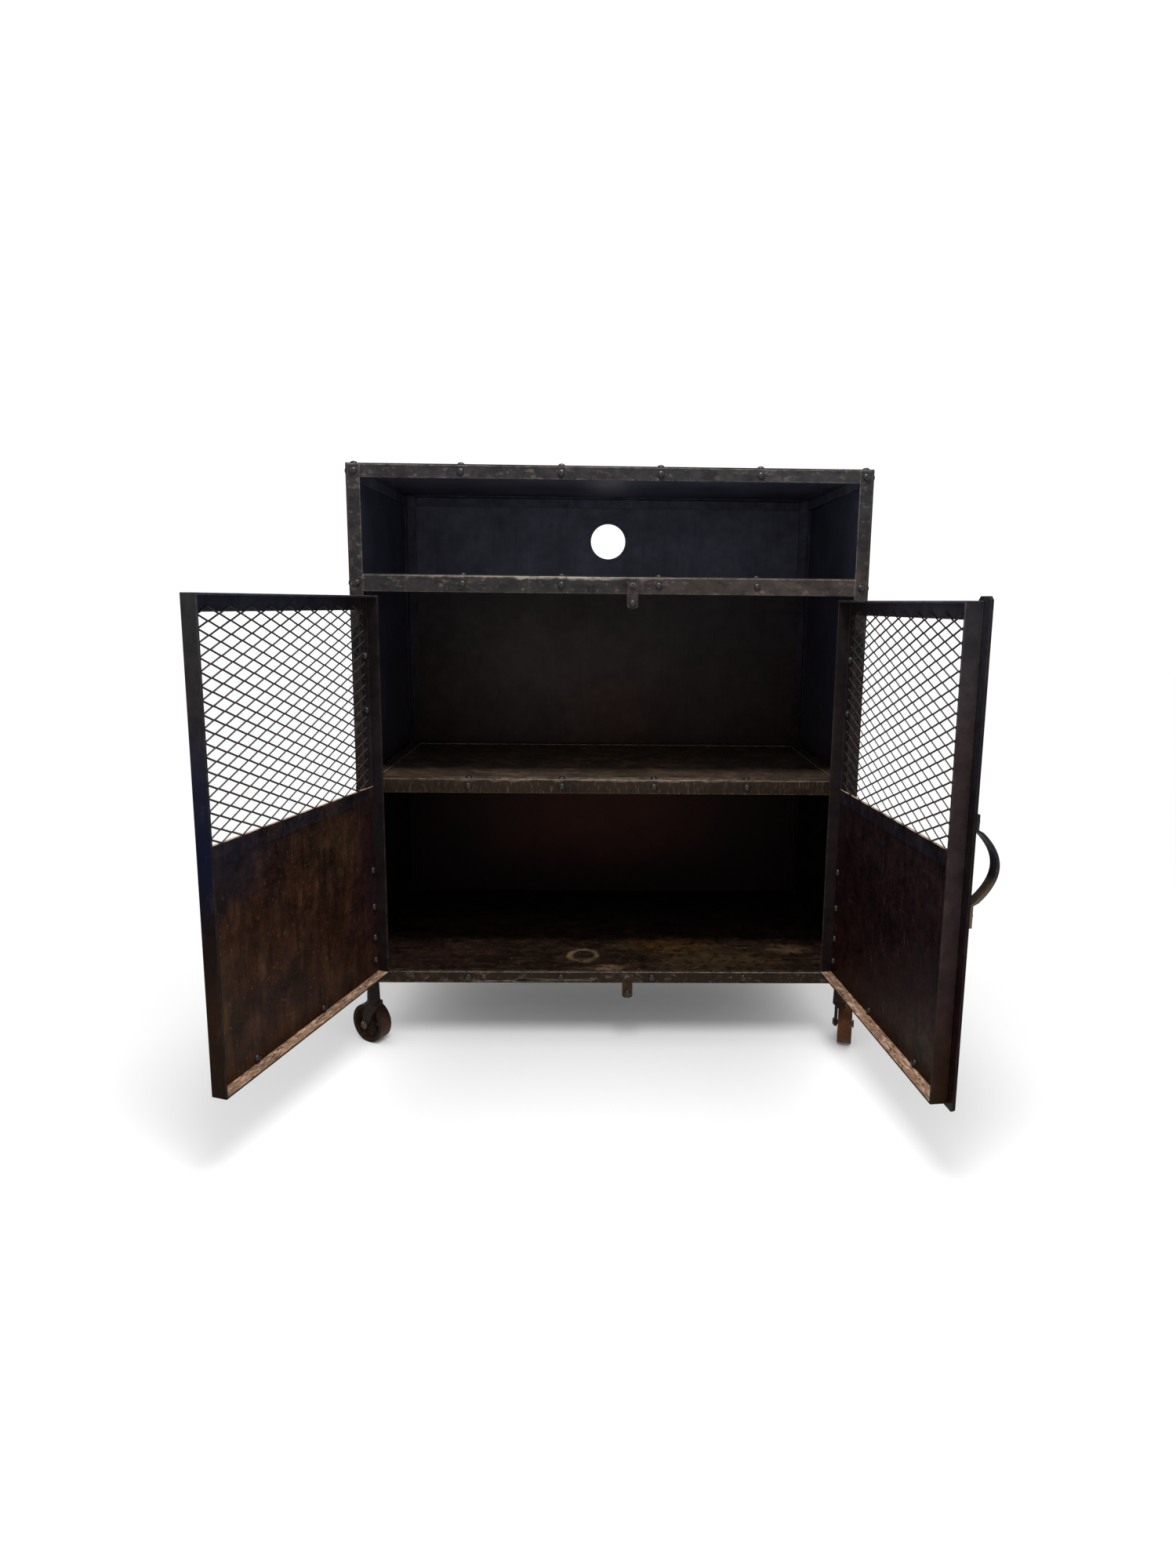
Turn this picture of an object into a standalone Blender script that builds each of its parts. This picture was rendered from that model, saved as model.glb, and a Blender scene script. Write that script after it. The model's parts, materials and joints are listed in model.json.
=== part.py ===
"""Bar cabinet on casters: a riveted angle-iron frame with sheet sides, an open niche on top and
two doors with expanded-metal windows, built as separate pieces in metres with +Z up.

The cabinet is laid out with its front plane at y = 0, its middle at x = 0 and the floor at z = 0.
At the end the whole is moved so that the origin is under the middle of its box, doors open."""
import math

import bmesh
import bpy
from mathutils import Vector
from mathutils.geometry import tessellate_polygon

# Cabinet
CAB_W = 0.914
CAB_D = 0.457
CAB_H = 1.078
FRAME_UNDER_Z = 0.1335
SHEET_T = 0.0015
ANGLE_T = 0.003
FRAME_LEG = 0.022
MID_RAIL_H = 0.029
NICHE_OPEN_H = 0.165
FIT = 0.0003
WELD = 0.000001
CABLE_HOLE_D = 0.078
CABLE_HOLE_DROP = 0.097
LIP_H = 0.015

# Shelf
SHELF_TOP_Z = 0.519
SHELF_LEG_H = 0.0265
SHELF_LEG_D = 0.024
SHELF_SET_BACK = 0.006

# Doors
DOOR_LEG = 0.025
DOOR_BOTTOM_GAP = 0.0022
DOOR_TOP_GAP = 0.0075
DOOR_HINGE_GAP = 0.004
DOOR_MEET_GAP = 0.003
MID_BAR_TOP_Z = 0.513
MID_BAR_H = 0.025
MESH_T = 0.0015
MESH_LAP = 0.008
MESH_LONG = 0.052
MESH_SHORT = 0.0234
MESH_STRAND = 0.0030
LEFT_DOOR_OPEN = math.radians(106.9)
RIGHT_DOOR_OPEN = math.radians(95.9)

# Hinges
KNUCKLE_R = 0.004
PIN_R = 0.002
LEAF_T = 0.002
LEAF_W = 0.017
LEAF_H = 0.052
KNUCKLE_GAP = 0.0004
PIN_CLEAR = 0.0003
PIN_HEAD_R = 0.0034
PIN_HEAD_H = 0.0016
HINGE_INSET = 0.055

# Closing strip and pull handle on the right door
STRIP_T = 0.004
STRIP_W = 0.030
STRIP_REACH = 0.015
STRIP_EXTRA = 0.006
STRIP_CHAMFER = 0.005
PULL_LOW_Z = 0.4205
PULL_LEN = 0.156
PULL_FOOT = 0.032
PULL_HEEL = 0.022
PULL_RISE = 0.033
PULL_T = 0.004
PULL_W = 0.018
PULL_IN = 0.0008
PULL_BOW_STEPS = 18

# Turn buttons
LATCH_X = 0.0398
LATCH_W = 0.0195
LATCH_T = 0.0025
LATCH_LEN = 0.039
LATCH_HEAD = 0.0075
LATCH_END_RISE = 0.0045
LATCH_TOP_DROP = 0.0155
LATCH_LOW_DROP = 0.0115
LATCH_PIN_R = 0.0034
LATCH_CLEAR = 0.0005
LATCH_CAP_R = 0.0062
LATCH_CAP_H = 0.0024
LATCH_END_STEPS = 10

# Rivet heads, each one solid with the bar or sheet that it is set in
RIVET_R = 0.0055
RIVET_H = 0.0024
RIVET_SINK = 0.0007
RIVET_SIDES = 8
RIVET_NEAR_X = 0.086
RIVET_FAR_X = 0.260
DOOR_RIVET_IN = 0.0100
DOOR_RIVET_NEAR = 0.175
DOOR_RIVET_FAR = 0.340
MESH_RIVET_RISES = (0.139, 0.235)
PANEL_RIVET_RISES = (0.027, 0.071, 0.130, 0.199)
FLANGE_RIVET_IN = 0.0125
LATCH_RIVET_DROP = 0.030

# Casters
WHEEL_R = 0.0375
WHEEL_W = 0.0265
WHEEL_SIDES = 26
RIM_DEPTH = 0.0060
WEB_T = 0.009
HUB_R = 0.0105
SPOKES = 4
SPOKE_W = 0.013
GAP_TURN = math.radians(108.0)
AXLE_R = 0.0047
AXLE_CLEAR = 0.0003
AXLE_HEAD_R = 0.0075
AXLE_HEAD_H = 0.0028
HORN_T = 0.006
HORN_TOP_W = 0.030
HORN_END_W = 0.017
HORN_SIDE_GAP = 0.0010
HORN_WHEEL_GAP = 0.006
CROWN_T = 0.007
CROWN_REACH = 0.012
STEM_R = 0.0062
HOUSING_R = 0.0125
HOUSING_TOP_R = 0.0110
HOUSING_GAP = 0.0012
PIVOT_R = 0.004
PIVOT_CLEAR = 0.0003
PIVOT_FLOOR = 0.0015
FLANGE_R = 0.010
FLANGE_T = 0.0025
TRAIL = 0.019
WHEEL_SIDE = 0.012
ROUND = 14
FRONT_STEM_Y = 0.018
FRONT_LEFT_STEM_IN = 0.0135
FRONT_RIGHT_STEM_IN = 0.0065
REAR_STEM_IN = 0.0135
REAR_STEM_Y = 0.018
SWIVEL_FRONT_LEFT = math.radians(58.2)
SWIVEL_FRONT_RIGHT = math.radians(-17.0)
SWIVEL_REAR_LEFT = math.radians(204.0)
SWIVEL_REAR_RIGHT = math.radians(190.0)

# Shares that shape domed heads and the horn's taper
DOME_R = 0.72
DOME_H = 0.7
HORN_LIP = 0.75
HORN_NECK = 0.95
HORN_WAIST = 0.66
HORN_TOE = 0.72
HORN_TIP = 0.25
TOE_RISE = 0.3
PULL_CURVE = 0.8
CAST_DRAFT = 0.002
HOLE_SIDES = 32
SMOOTH_ANGLE = math.radians(35.0)

# Colours, linear
GUNMETAL = (0.045, 0.042, 0.040)
BLUE_BLACK = (0.026, 0.027, 0.031)
DARK_BROWN = (0.034, 0.027, 0.023)
RUST_BROWN = (0.060, 0.036, 0.024)
BRIGHT_STEEL = (0.16, 0.15, 0.14)

# Sizes that follow from those above
FRAME_X = CAB_W / 2 - SHEET_T - FIT
FRAME_BACK = CAB_D - SHEET_T - FIT
FRAME_TOP = CAB_H - SHEET_T - FIT
OPEN_X = FRAME_X - FRAME_LEG
RAIL_X = OPEN_X - FIT
INNER_X = FRAME_X - ANGLE_T - FIT
INNER_Y0 = ANGLE_T + FIT
INNER_Y1 = FRAME_BACK - ANGLE_T - FIT
MID_TOP = FRAME_TOP - FRAME_LEG - NICHE_OPEN_H
MID_LOW = MID_TOP - MID_RAIL_H
BASE_TOP = FRAME_UNDER_Z + FRAME_LEG
FLOOR_TOP = BASE_TOP + FIT + SHEET_T
AXIS_DEPTH = KNUCKLE_R + FIT
AXIS_X = OPEN_X - DOOR_HINGE_GAP / 2
DOOR_EDGE = DOOR_HINGE_GAP / 2
DOOR_FREE = AXIS_X - DOOR_MEET_GAP / 2
DOOR_Z0 = FLOOR_TOP + DOOR_BOTTOM_GAP
DOOR_Z1 = MID_LOW - DOOR_TOP_GAP
DOOR_FACE = AXIS_DEPTH
DOOR_BACK = DOOR_FACE + ANGLE_T
SHELF_FRONT_Y = DOOR_LEG + SHELF_SET_BACK
RAIL_RIVETS = (-RIVET_FAR_X, -RIVET_NEAR_X, RIVET_NEAR_X, RIVET_FAR_X)
TOP_RIVET_Z = FRAME_TOP - FRAME_LEG / 2
MID_RIVET_Z = MID_TOP - MID_RAIL_H / 2
LOW_RIVET_Z = BASE_TOP - FRAME_LEG / 2
SHELF_RIVET_Z = SHELF_TOP_Z - SHELF_LEG_H / 2
CROWN_LOW = 2 * WHEEL_R + HORN_WHEEL_GAP
CROWN_TOP = CROWN_LOW + CROWN_T
HOUSING_TOP = FRAME_UNDER_Z - FIT - FLANGE_T - HOUSING_GAP


def clear_scene():
    """Removes whatever the scene holds."""
    for found in list(bpy.data.objects):
        bpy.data.objects.remove(found, do_unlink=True)


def paint(name, colour, metallic, roughness):
    """One Principled material for one piece."""
    made = bpy.data.materials.new(name)
    made.use_nodes = True
    node = made.node_tree.nodes["Principled BSDF"]
    node.inputs["Base Color"].default_value = (*colour, 1.0)
    node.inputs["Metallic"].default_value = metallic
    node.inputs["Roughness"].default_value = roughness
    return made


def axis_at(name, place, turn=0.0, parent=None):
    """An empty on a joint axis, turned about Z."""
    made = bpy.data.objects.new(name, None)
    bpy.context.collection.objects.link(made)
    made.location = place
    made.rotation_euler = (0.0, 0.0, turn)
    made.parent = parent
    return made


def piece(name, bm, parent, colour, place=(0.0, 0.0, 0.0), metallic=0.7, roughness=0.55):
    """Turns a bmesh into a named object with its own material."""
    bmesh.ops.remove_doubles(bm, verts=bm.verts[:], dist=WELD)
    bmesh.ops.recalc_face_normals(bm, faces=bm.faces[:])
    mesh = bpy.data.meshes.new(name)
    bm.to_mesh(mesh)
    bm.free()
    made = bpy.data.objects.new(name, mesh)
    bpy.context.collection.objects.link(made)
    made.data.materials.append(paint(name + "_finish", colour, metallic, roughness))
    made.location = place
    made.parent = parent
    return made


def prism(bm, outline, low, high, axis):
    """Extrudes a plane outline along an axis: outline points are the other two coordinates in order."""
    def spot(point, height):
        if axis == "x":
            return (height, point[0], point[1])
        if axis == "y":
            return (point[0], height, point[1])
        return (point[0], point[1], height)
    first = [bm.verts.new(spot(p, low)) for p in outline]
    second = [bm.verts.new(spot(p, high)) for p in outline]
    flat = [Vector((p[0], p[1], 0.0)) for p in outline]
    for a, b, c in tessellate_polygon([flat]):
        bm.faces.new((first[a], first[b], first[c]))
        bm.faces.new((second[c], second[b], second[a]))
    count = len(outline)
    for i in range(count):
        j = (i + 1) % count
        bm.faces.new((first[i], first[j], second[j], second[i]))


def box(bm, x0, x1, y0, y1, z0, z1):
    """A plain block."""
    prism(bm, [(x0, y0), (x1, y0), (x1, y1), (x0, y1)], z0, z1, "z")


def angle_outline(corner, leg_a, leg_b, thick, way_a, way_b):
    """The L of an angle bar from its outer corner, legs running in the given ways."""
    a, b = corner
    return [
        (a, b),
        (a + way_a * leg_a, b),
        (a + way_a * leg_a, b + way_b * thick),
        (a + way_a * thick, b + way_b * thick),
        (a + way_a * thick, b + way_b * leg_b),
        (a, b + way_b * leg_b),
    ]


def lathe(bm, profile, sides, axis, closed):
    """Turns a profile of (radius, height) about an axis through the origin."""
    rings = []
    for radius, height in profile:
        if radius <= 0.0:
            spots = [(0.0, 0.0)]
        else:
            turns = [2 * math.pi * k / sides for k in range(sides)]
            spots = [(radius * math.cos(t), radius * math.sin(t)) for t in turns]
        if axis == "x":
            rings.append([bm.verts.new((height, p, q)) for p, q in spots])
        elif axis == "y":
            rings.append([bm.verts.new((p, height, q)) for p, q in spots])
        else:
            rings.append([bm.verts.new((p, q, height)) for p, q in spots])
    pairs = list(zip(rings, rings[1:]))
    if closed:
        pairs.append((rings[-1], rings[0]))
    for low, high in pairs:
        for k in range(sides):
            m = (k + 1) % sides
            if len(low) == 1:
                bm.faces.new((low[0], high[m], high[k]))
            elif len(high) == 1:
                bm.faces.new((low[k], low[m], high[0]))
            else:
                bm.faces.new((low[k], low[m], high[m], high[k]))


def frame_ring(bm, outer, leg, flat, rim, spot):
    """A mitred frame of angle bar: one leg lies on the plane flat, the other runs outside to the plane rim.
    outer holds the two lowest and highest values in the frame's plane; spot places (a, b, height)."""
    a0, a1, b0, b1 = outer
    way = math.copysign(ANGLE_T, rim - flat)
    loops = [
        (0.0, flat),
        (0.0, rim),
        (ANGLE_T, rim),
        (ANGLE_T, flat + way),
        (leg, flat + way),
        (leg, flat),
    ]
    rings = []
    for inset, height in loops:
        x0 = a0 + inset
        x1 = a1 - inset
        y0 = b0 + inset
        y1 = b1 - inset
        corners = [(x0, y0), (x1, y0), (x1, y1), (x0, y1)]
        rings.append([bm.verts.new(spot(a, b, height)) for a, b in corners])
    for count, ring in enumerate(rings):
        other = rings[(count + 1) % len(rings)]
        for k in range(len(ring)):
            m = (k + 1) % len(ring)
            bm.faces.new((ring[k], ring[m], other[m], other[k]))


def combine(name, base, tools, operation):
    """Applies exact booleans to one object and removes the tool objects."""
    for count, tool in enumerate(tools):
        tool.hide_render = True
        tool.display_type = "WIRE"
        step = base.modifiers.new(name + str(count), "BOOLEAN")
        step.operation = operation
        step.solver = "EXACT"
        step.object = tool
    bpy.context.view_layer.update()
    shape = base.evaluated_get(bpy.context.evaluated_depsgraph_get())
    fresh = bpy.data.meshes.new_from_object(shape)
    base.modifiers.clear()
    base.data = fresh
    for tool in tools:
        bpy.data.objects.remove(tool, do_unlink=True)


def tool_piece(name, bm):
    """A loose object for a boolean, without a material."""
    bmesh.ops.recalc_face_normals(bm, faces=bm.faces[:])
    mesh = bpy.data.meshes.new(name)
    bm.to_mesh(mesh)
    bm.free()
    made = bpy.data.objects.new(name, mesh)
    bpy.context.collection.objects.link(made)
    return made


def add_rivets(base, spots, axis, way, parent=None):
    """Sets round heads on a face of one piece; way is the side of the axis that they stand out to."""
    slope = RIVET_R * (1.0 - DOME_R) / (RIVET_H * DOME_H)
    profile = [
        (0.0, -way * RIVET_SINK),
        (RIVET_R + RIVET_SINK * slope, -way * RIVET_SINK),
        (RIVET_R * DOME_R, way * RIVET_H * DOME_H),
        (0.0, way * RIVET_H),
    ]
    bm = bmesh.new()
    for spot in spots:
        before = set(bm.verts)
        lathe(bm, profile, RIVET_SIDES, axis, False)
        bmesh.ops.translate(bm, verts=[v for v in bm.verts if v not in before], vec=spot)
    tool = tool_piece("rivet_tool", bm)
    tool.parent = parent
    combine("rivets", base, [tool], "UNION")


def build_posts(root):
    """Four corner posts, each an upright angle with its corner outside."""
    for side, way in (("left", 1), ("right", -1)):
        for end, corner_y, way_y in (("front", 0.0, 1), ("back", FRAME_BACK, -1)):
            bm = bmesh.new()
            outline = angle_outline((-way * FRAME_X, corner_y), FRAME_LEG, FRAME_LEG, ANGLE_T, way, way_y)
            prism(bm, outline, FRAME_UNDER_Z, FRAME_TOP, "z")
            made = piece(end + "_" + side + "_post", bm, root, GUNMETAL)
            if end == "front":
                middle = -way * (FRAME_X - FRAME_LEG / 2)
                add_rivets(made, [(middle, 0.0, TOP_RIVET_Z), (middle, 0.0, MID_RIVET_Z)], "y", -1)


def build_rails(root):
    """Top and bottom rails between the posts, with the flat leg on top in both."""
    for level, top in (("top", FRAME_TOP), ("bottom", BASE_TOP)):
        for end, face_y, way_y in (("front", 0.0, 1), ("back", FRAME_BACK, -1)):
            bm = bmesh.new()
            outline = angle_outline((face_y, top), FRAME_LEG, FRAME_LEG, ANGLE_T, way_y, -1)
            prism(bm, outline, -RAIL_X, RAIL_X, "x")
            made = piece(level + "_" + end + "_rail", bm, root, GUNMETAL)
            if end == "front":
                add_rivets(made, [(x, 0.0, top - FRAME_LEG / 2) for x in RAIL_RIVETS], "y", -1)
            if level == "bottom" and end == "front":
                add_latch_pin(made, BASE_TOP - LATCH_LOW_DROP)
        for side, way in (("left", 1), ("right", -1)):
            bm = bmesh.new()
            outline = angle_outline((-way * FRAME_X, top), FRAME_LEG, FRAME_LEG, ANGLE_T, way, -1)
            prism(bm, outline, FRAME_LEG + FIT, FRAME_BACK - FRAME_LEG - FIT, "y")
            piece(level + "_" + side + "_rail", bm, root, GUNMETAL)
    bm = bmesh.new()
    outline = angle_outline((0.0, MID_TOP), FRAME_LEG, MID_RAIL_H, ANGLE_T, 1, -1)
    prism(bm, outline, -RAIL_X, RAIL_X, "x")
    made = piece("mid_front_rail", bm, root, GUNMETAL)
    add_rivets(made, [(x, 0.0, MID_RIVET_Z) for x in RAIL_RIVETS], "y", -1)
    add_latch_pin(made, MID_TOP - LATCH_TOP_DROP)


def add_latch_pin(rail, height):
    """Rivets the pivot of a turn button into a rail, with a cap that holds the button on."""
    back = ANGLE_T / 2
    under_cap = -(FIT + LATCH_T + FIT)
    tip = under_cap - LATCH_CAP_H
    bm = bmesh.new()
    profile = [
        (0.0, back),
        (LATCH_PIN_R, back),
        (LATCH_PIN_R, under_cap),
        (LATCH_CAP_R, under_cap),
        (LATCH_CAP_R * DOME_R, under_cap - LATCH_CAP_H * DOME_H),
        (0.0, tip),
    ]
    lathe(bm, profile, ROUND, "y", False)
    bmesh.ops.translate(bm, verts=bm.verts[:], vec=(LATCH_X, 0.0, height))
    combine("pin", rail, [tool_piece("pin_tool", bm)], "UNION")


def folded_sheet(bm, half, y0, y1, top, lip):
    """A flat sheet with a lip turned down at its back edge, folded from one blank."""
    outline = [
        (y0, top),
        (y0, top - SHEET_T),
        (y1 - SHEET_T, top - SHEET_T),
        (y1 - SHEET_T, top - lip),
        (y1, top - lip),
        (y1, top),
    ]
    prism(bm, outline, -half, half, "x")


def build_sheets(root):
    """Top, sides, back, niche floor, shelf and floor sheets."""
    bm = bmesh.new()
    box(bm, -CAB_W / 2, CAB_W / 2, 0.0, CAB_D, CAB_H - SHEET_T, CAB_H)
    piece("top_panel", bm, root, GUNMETAL)
    for side, way in (("left", -1), ("right", 1)):
        bm = bmesh.new()
        inner = way * (CAB_W / 2 - SHEET_T)
        outer = way * CAB_W / 2
        box(bm, min(inner, outer), max(inner, outer), 0.0, CAB_D, FRAME_UNDER_Z, FRAME_TOP)
        made = piece(side + "_side_panel", bm, root, BLUE_BLACK)
        heads = []
        for y in (FRAME_LEG / 2, FRAME_BACK - FRAME_LEG / 2):
            heads += [(outer, y, z) for z in (TOP_RIVET_Z, MID_RIVET_Z, SHELF_RIVET_Z, LOW_RIVET_Z)]
        add_rivets(made, heads, "x", way)
    bm = bmesh.new()
    box(bm, -FRAME_X, FRAME_X, CAB_D - SHEET_T, CAB_D, FRAME_UNDER_Z, FRAME_TOP)
    back = piece("back_panel", bm, root, BLUE_BLACK)
    bm = bmesh.new()
    hole = CABLE_HOLE_D / 2
    lathe(bm, [(0.0, -CAB_D), (hole, -CAB_D), (hole, CAB_D), (0.0, CAB_D)], HOLE_SIDES, "y", False)
    bmesh.ops.translate(bm, verts=bm.verts[:], vec=(0.0, CAB_D, CAB_H - CABLE_HOLE_DROP))
    combine("cable", back, [tool_piece("cable_tool", bm)], "DIFFERENCE")
    post = FRAME_X - FRAME_LEG / 2
    heads = [(x, CAB_D, z) for x in RAIL_RIVETS for z in (TOP_RIVET_Z, LOW_RIVET_Z)]
    for z in (TOP_RIVET_Z, MID_RIVET_Z, SHELF_RIVET_Z, LOW_RIVET_Z):
        heads += [(-post, CAB_D, z), (post, CAB_D, z)]
    add_rivets(back, heads, "y", 1)
    bm = bmesh.new()
    niche_top = MID_TOP + FIT + SHEET_T
    folded_sheet(bm, INNER_X, INNER_Y0, INNER_Y1, niche_top, LIP_H)
    made = piece("niche_floor", bm, root, GUNMETAL)
    heads = [(x, INNER_Y0 + FLANGE_RIVET_IN, niche_top) for x in RAIL_RIVETS]
    add_rivets(made, heads, "z", 1)
    bm = bmesh.new()
    box(bm, -INNER_X, INNER_X, INNER_Y0, INNER_Y1, BASE_TOP + FIT, FLOOR_TOP)
    piece("floor_panel", bm, root, DARK_BROWN)


def build_shelf(root):
    """The shelf: a mitred frame of angle between the posts, and the sheet under its flanges."""
    def spot(x, y, z):
        return (x, y, z)
    bm = bmesh.new()
    outer = (-INNER_X, INNER_X, SHELF_FRONT_Y, INNER_Y1)
    frame_ring(bm, outer, SHELF_LEG_D, SHELF_TOP_Z, SHELF_TOP_Z - SHELF_LEG_H, spot)
    made = piece("shelf_frame", bm, root, GUNMETAL)
    add_rivets(made, [(x, SHELF_FRONT_Y, SHELF_RIVET_Z) for x in RAIL_RIVETS], "y", -1)
    add_rivets(made, [(x, SHELF_FRONT_Y + FLANGE_RIVET_IN, SHELF_TOP_Z) for x in RAIL_RIVETS], "z", 1)
    bm = bmesh.new()
    half = INNER_X - ANGLE_T - FIT
    front = SHELF_FRONT_Y + ANGLE_T + FIT
    back = INNER_Y1 - ANGLE_T - FIT
    top = SHELF_TOP_Z - ANGLE_T - FIT
    box(bm, -half, half, front, back, top - SHEET_T, top)
    piece("shelf_panel", bm, root, DARK_BROWN)


def build_door(side, way, axis):
    """One door in the frame of its hinge axis: way is +1 where the door runs to +X when shut."""
    wall = (DOOR_EDGE + ANGLE_T, DOOR_FREE - ANGLE_T, DOOR_Z0 + ANGLE_T, DOOR_Z1 - ANGLE_T)
    hole = (DOOR_EDGE + DOOR_LEG, DOOR_FREE - DOOR_LEG, DOOR_Z0 + DOOR_LEG, DOOR_Z1 - DOOR_LEG)

    def spot(x, z, y):
        return (way * x, y, z)
    bm = bmesh.new()
    outer = (DOOR_EDGE, DOOR_FREE, DOOR_Z0, DOOR_Z1)
    frame_ring(bm, outer, DOOR_LEG, DOOR_FACE, DOOR_FACE + DOOR_LEG, spot)
    frame = piece(side + "_door_frame", bm, axis, GUNMETAL)
    bm = bmesh.new()
    ends = sorted((way * (hole[0] - ANGLE_T), way * (hole[1] + ANGLE_T)))
    box(bm, ends[0], ends[1], DOOR_FACE, DOOR_BACK, MID_BAR_TOP_Z - MID_BAR_H, MID_BAR_TOP_Z)
    bar = tool_piece("bar_tool", bm)
    bar.parent = axis
    combine("bar", frame, [bar], "UNION")
    edges = (way * (DOOR_EDGE + DOOR_RIVET_IN), way * (DOOR_FREE - DOOR_RIVET_IN))
    heads = [(x, DOOR_BACK, MID_BAR_TOP_Z + rise) for x in edges for rise in MESH_RIVET_RISES]
    add_rivets(frame, heads, "y", 1, axis)

    sheet_y = DOOR_BACK + FIT
    inside = sorted((way * (wall[0] + FIT), way * (wall[1] - FIT)))
    bm = bmesh.new()
    box(bm, inside[0], inside[1], sheet_y, sheet_y + SHEET_T, wall[2] + FIT, MID_BAR_TOP_Z)
    panel = piece(side + "_door_panel", bm, axis, DARK_BROWN)
    inner = sheet_y + SHEET_T
    heads = [(x, inner, DOOR_Z0 + rise) for x in edges for rise in PANEL_RIVET_RISES]
    heads += [(way * x, inner, DOOR_Z0 + DOOR_RIVET_IN) for x in (DOOR_RIVET_NEAR, DOOR_RIVET_FAR)]
    add_rivets(panel, heads, "y", 1, axis)
    build_mesh(side, way, axis, hole, sheet_y)


def build_mesh(side, way, axis, hole, sheet_y):
    """Expanded metal as one flat net of diamonds, lapped over the frame behind the window."""
    x0 = hole[0] - MESH_LAP
    x1 = hole[1] + MESH_LAP
    z0 = MID_BAR_TOP_Z + FIT
    z1 = hole[3] + MESH_LAP
    mid_x = (hole[0] + hole[1]) / 2
    mid_z = (MID_BAR_TOP_Z + hole[3]) / 2
    slope = math.hypot(1 / MESH_LONG, 1 / MESH_SHORT)
    half_x = MESH_LONG * (0.5 - MESH_STRAND * slope / 2)
    half_z = MESH_SHORT * (0.5 - MESH_STRAND * slope / 2)
    columns = int((hole[1] - hole[0]) / MESH_LONG) + 2
    rows = int((hole[3] - MID_BAR_TOP_Z) / MESH_SHORT) + 2
    bm = bmesh.new()
    edges = []

    def loop(points):
        ring = [bm.verts.new((way * px, sheet_y, pz)) for px, pz in points]
        for k, vert in enumerate(ring):
            edges.append(bm.edges.new((vert, ring[(k + 1) % len(ring)])))

    loop([(x0, z0), (x1, z0), (x1, z1), (x0, z1)])
    for i in range(-columns, columns + 1):
        for j in range(-rows, rows + 1):
            if (i + j) % 2:
                continue
            cx = mid_x + i * MESH_LONG / 2
            cz = mid_z + j * MESH_SHORT / 2
            clear_x = cx - half_x > x0 + MESH_STRAND and cx + half_x < x1 - MESH_STRAND
            clear_z = cz - half_z > z0 + MESH_STRAND and cz + half_z < z1 - MESH_STRAND
            if clear_x and clear_z:
                loop([(cx - half_x, cz), (cx, cz - half_z), (cx + half_x, cz), (cx, cz + half_z)])
    bmesh.ops.triangle_fill(bm, use_beauty=True, edges=edges)
    raised = bmesh.ops.extrude_face_region(bm, geom=bm.faces[:])
    verts = [g for g in raised["geom"] if isinstance(g, bmesh.types.BMVert)]
    bmesh.ops.translate(bm, verts=verts, vec=(0.0, MESH_T, 0.0))
    piece(side + "_door_mesh", bm, axis, GUNMETAL)


def leaf(bm, way, z0, z1, spans, face_back):
    """A hinge leaf with its knuckles about the axis; face_back is the plane that the leaf lies on."""
    near = KNUCKLE_R + 2 * FIT
    edge = sorted((way * near, way * (near + LEAF_W)))
    box(bm, edge[0], edge[1], face_back - LEAF_T, face_back, z0, z1)
    knuckles = []
    for low, high in spans:
        ring = bmesh.new()
        bore = PIN_R + PIN_CLEAR
        lathe(ring, [(bore, low), (KNUCKLE_R, low), (KNUCKLE_R, high), (bore, high)], ROUND, "z", True)
        knuckles.append(tool_piece("knuckle_tool", ring))
        tab = bmesh.new()
        reach = sorted((way * (bore + FIT), way * (near + LEAF_T)))
        box(tab, reach[0], reach[1], face_back - LEAF_T, face_back - FIT, low, high)
        knuckles.append(tool_piece("tab_tool", tab))
    return knuckles


def build_hinge(side, way, level, axis, root, low):
    """A butt hinge: leaf on the post, leaf on the door, and the pin between their knuckles."""
    high = low + LEAF_H
    third = LEAF_H / 3
    spot = axis.location
    name = side + "_" + level + "_hinge"
    plane = AXIS_DEPTH - FIT

    bm = bmesh.new()
    spans = [(low, low + third), (high - third, high)]
    tools = leaf(bm, -way, low, high, spans, plane)
    made = piece(name + "_frame_leaf", bm, root, GUNMETAL)
    combine("leaf", made, tools, "UNION")
    made.location = spot

    bm = bmesh.new()
    spans = [(low + third + KNUCKLE_GAP, high - third - KNUCKLE_GAP)]
    tools = leaf(bm, way, low, high, spans, plane)
    made = piece(name + "_door_leaf", bm, None, GUNMETAL)
    combine("leaf", made, tools, "UNION")
    made.parent = axis

    bm = bmesh.new()
    cap = high + FIT
    profile = [
        (0.0, low),
        (PIN_R, low),
        (PIN_R, cap),
        (PIN_HEAD_R, cap),
        (PIN_HEAD_R * DOME_R, cap + PIN_HEAD_H * DOME_H),
        (0.0, cap + PIN_HEAD_H),
    ]
    lathe(bm, profile, ROUND, "z", False)
    made = piece(name + "_pin", bm, root, BRIGHT_STEEL)
    made.location = spot


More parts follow.
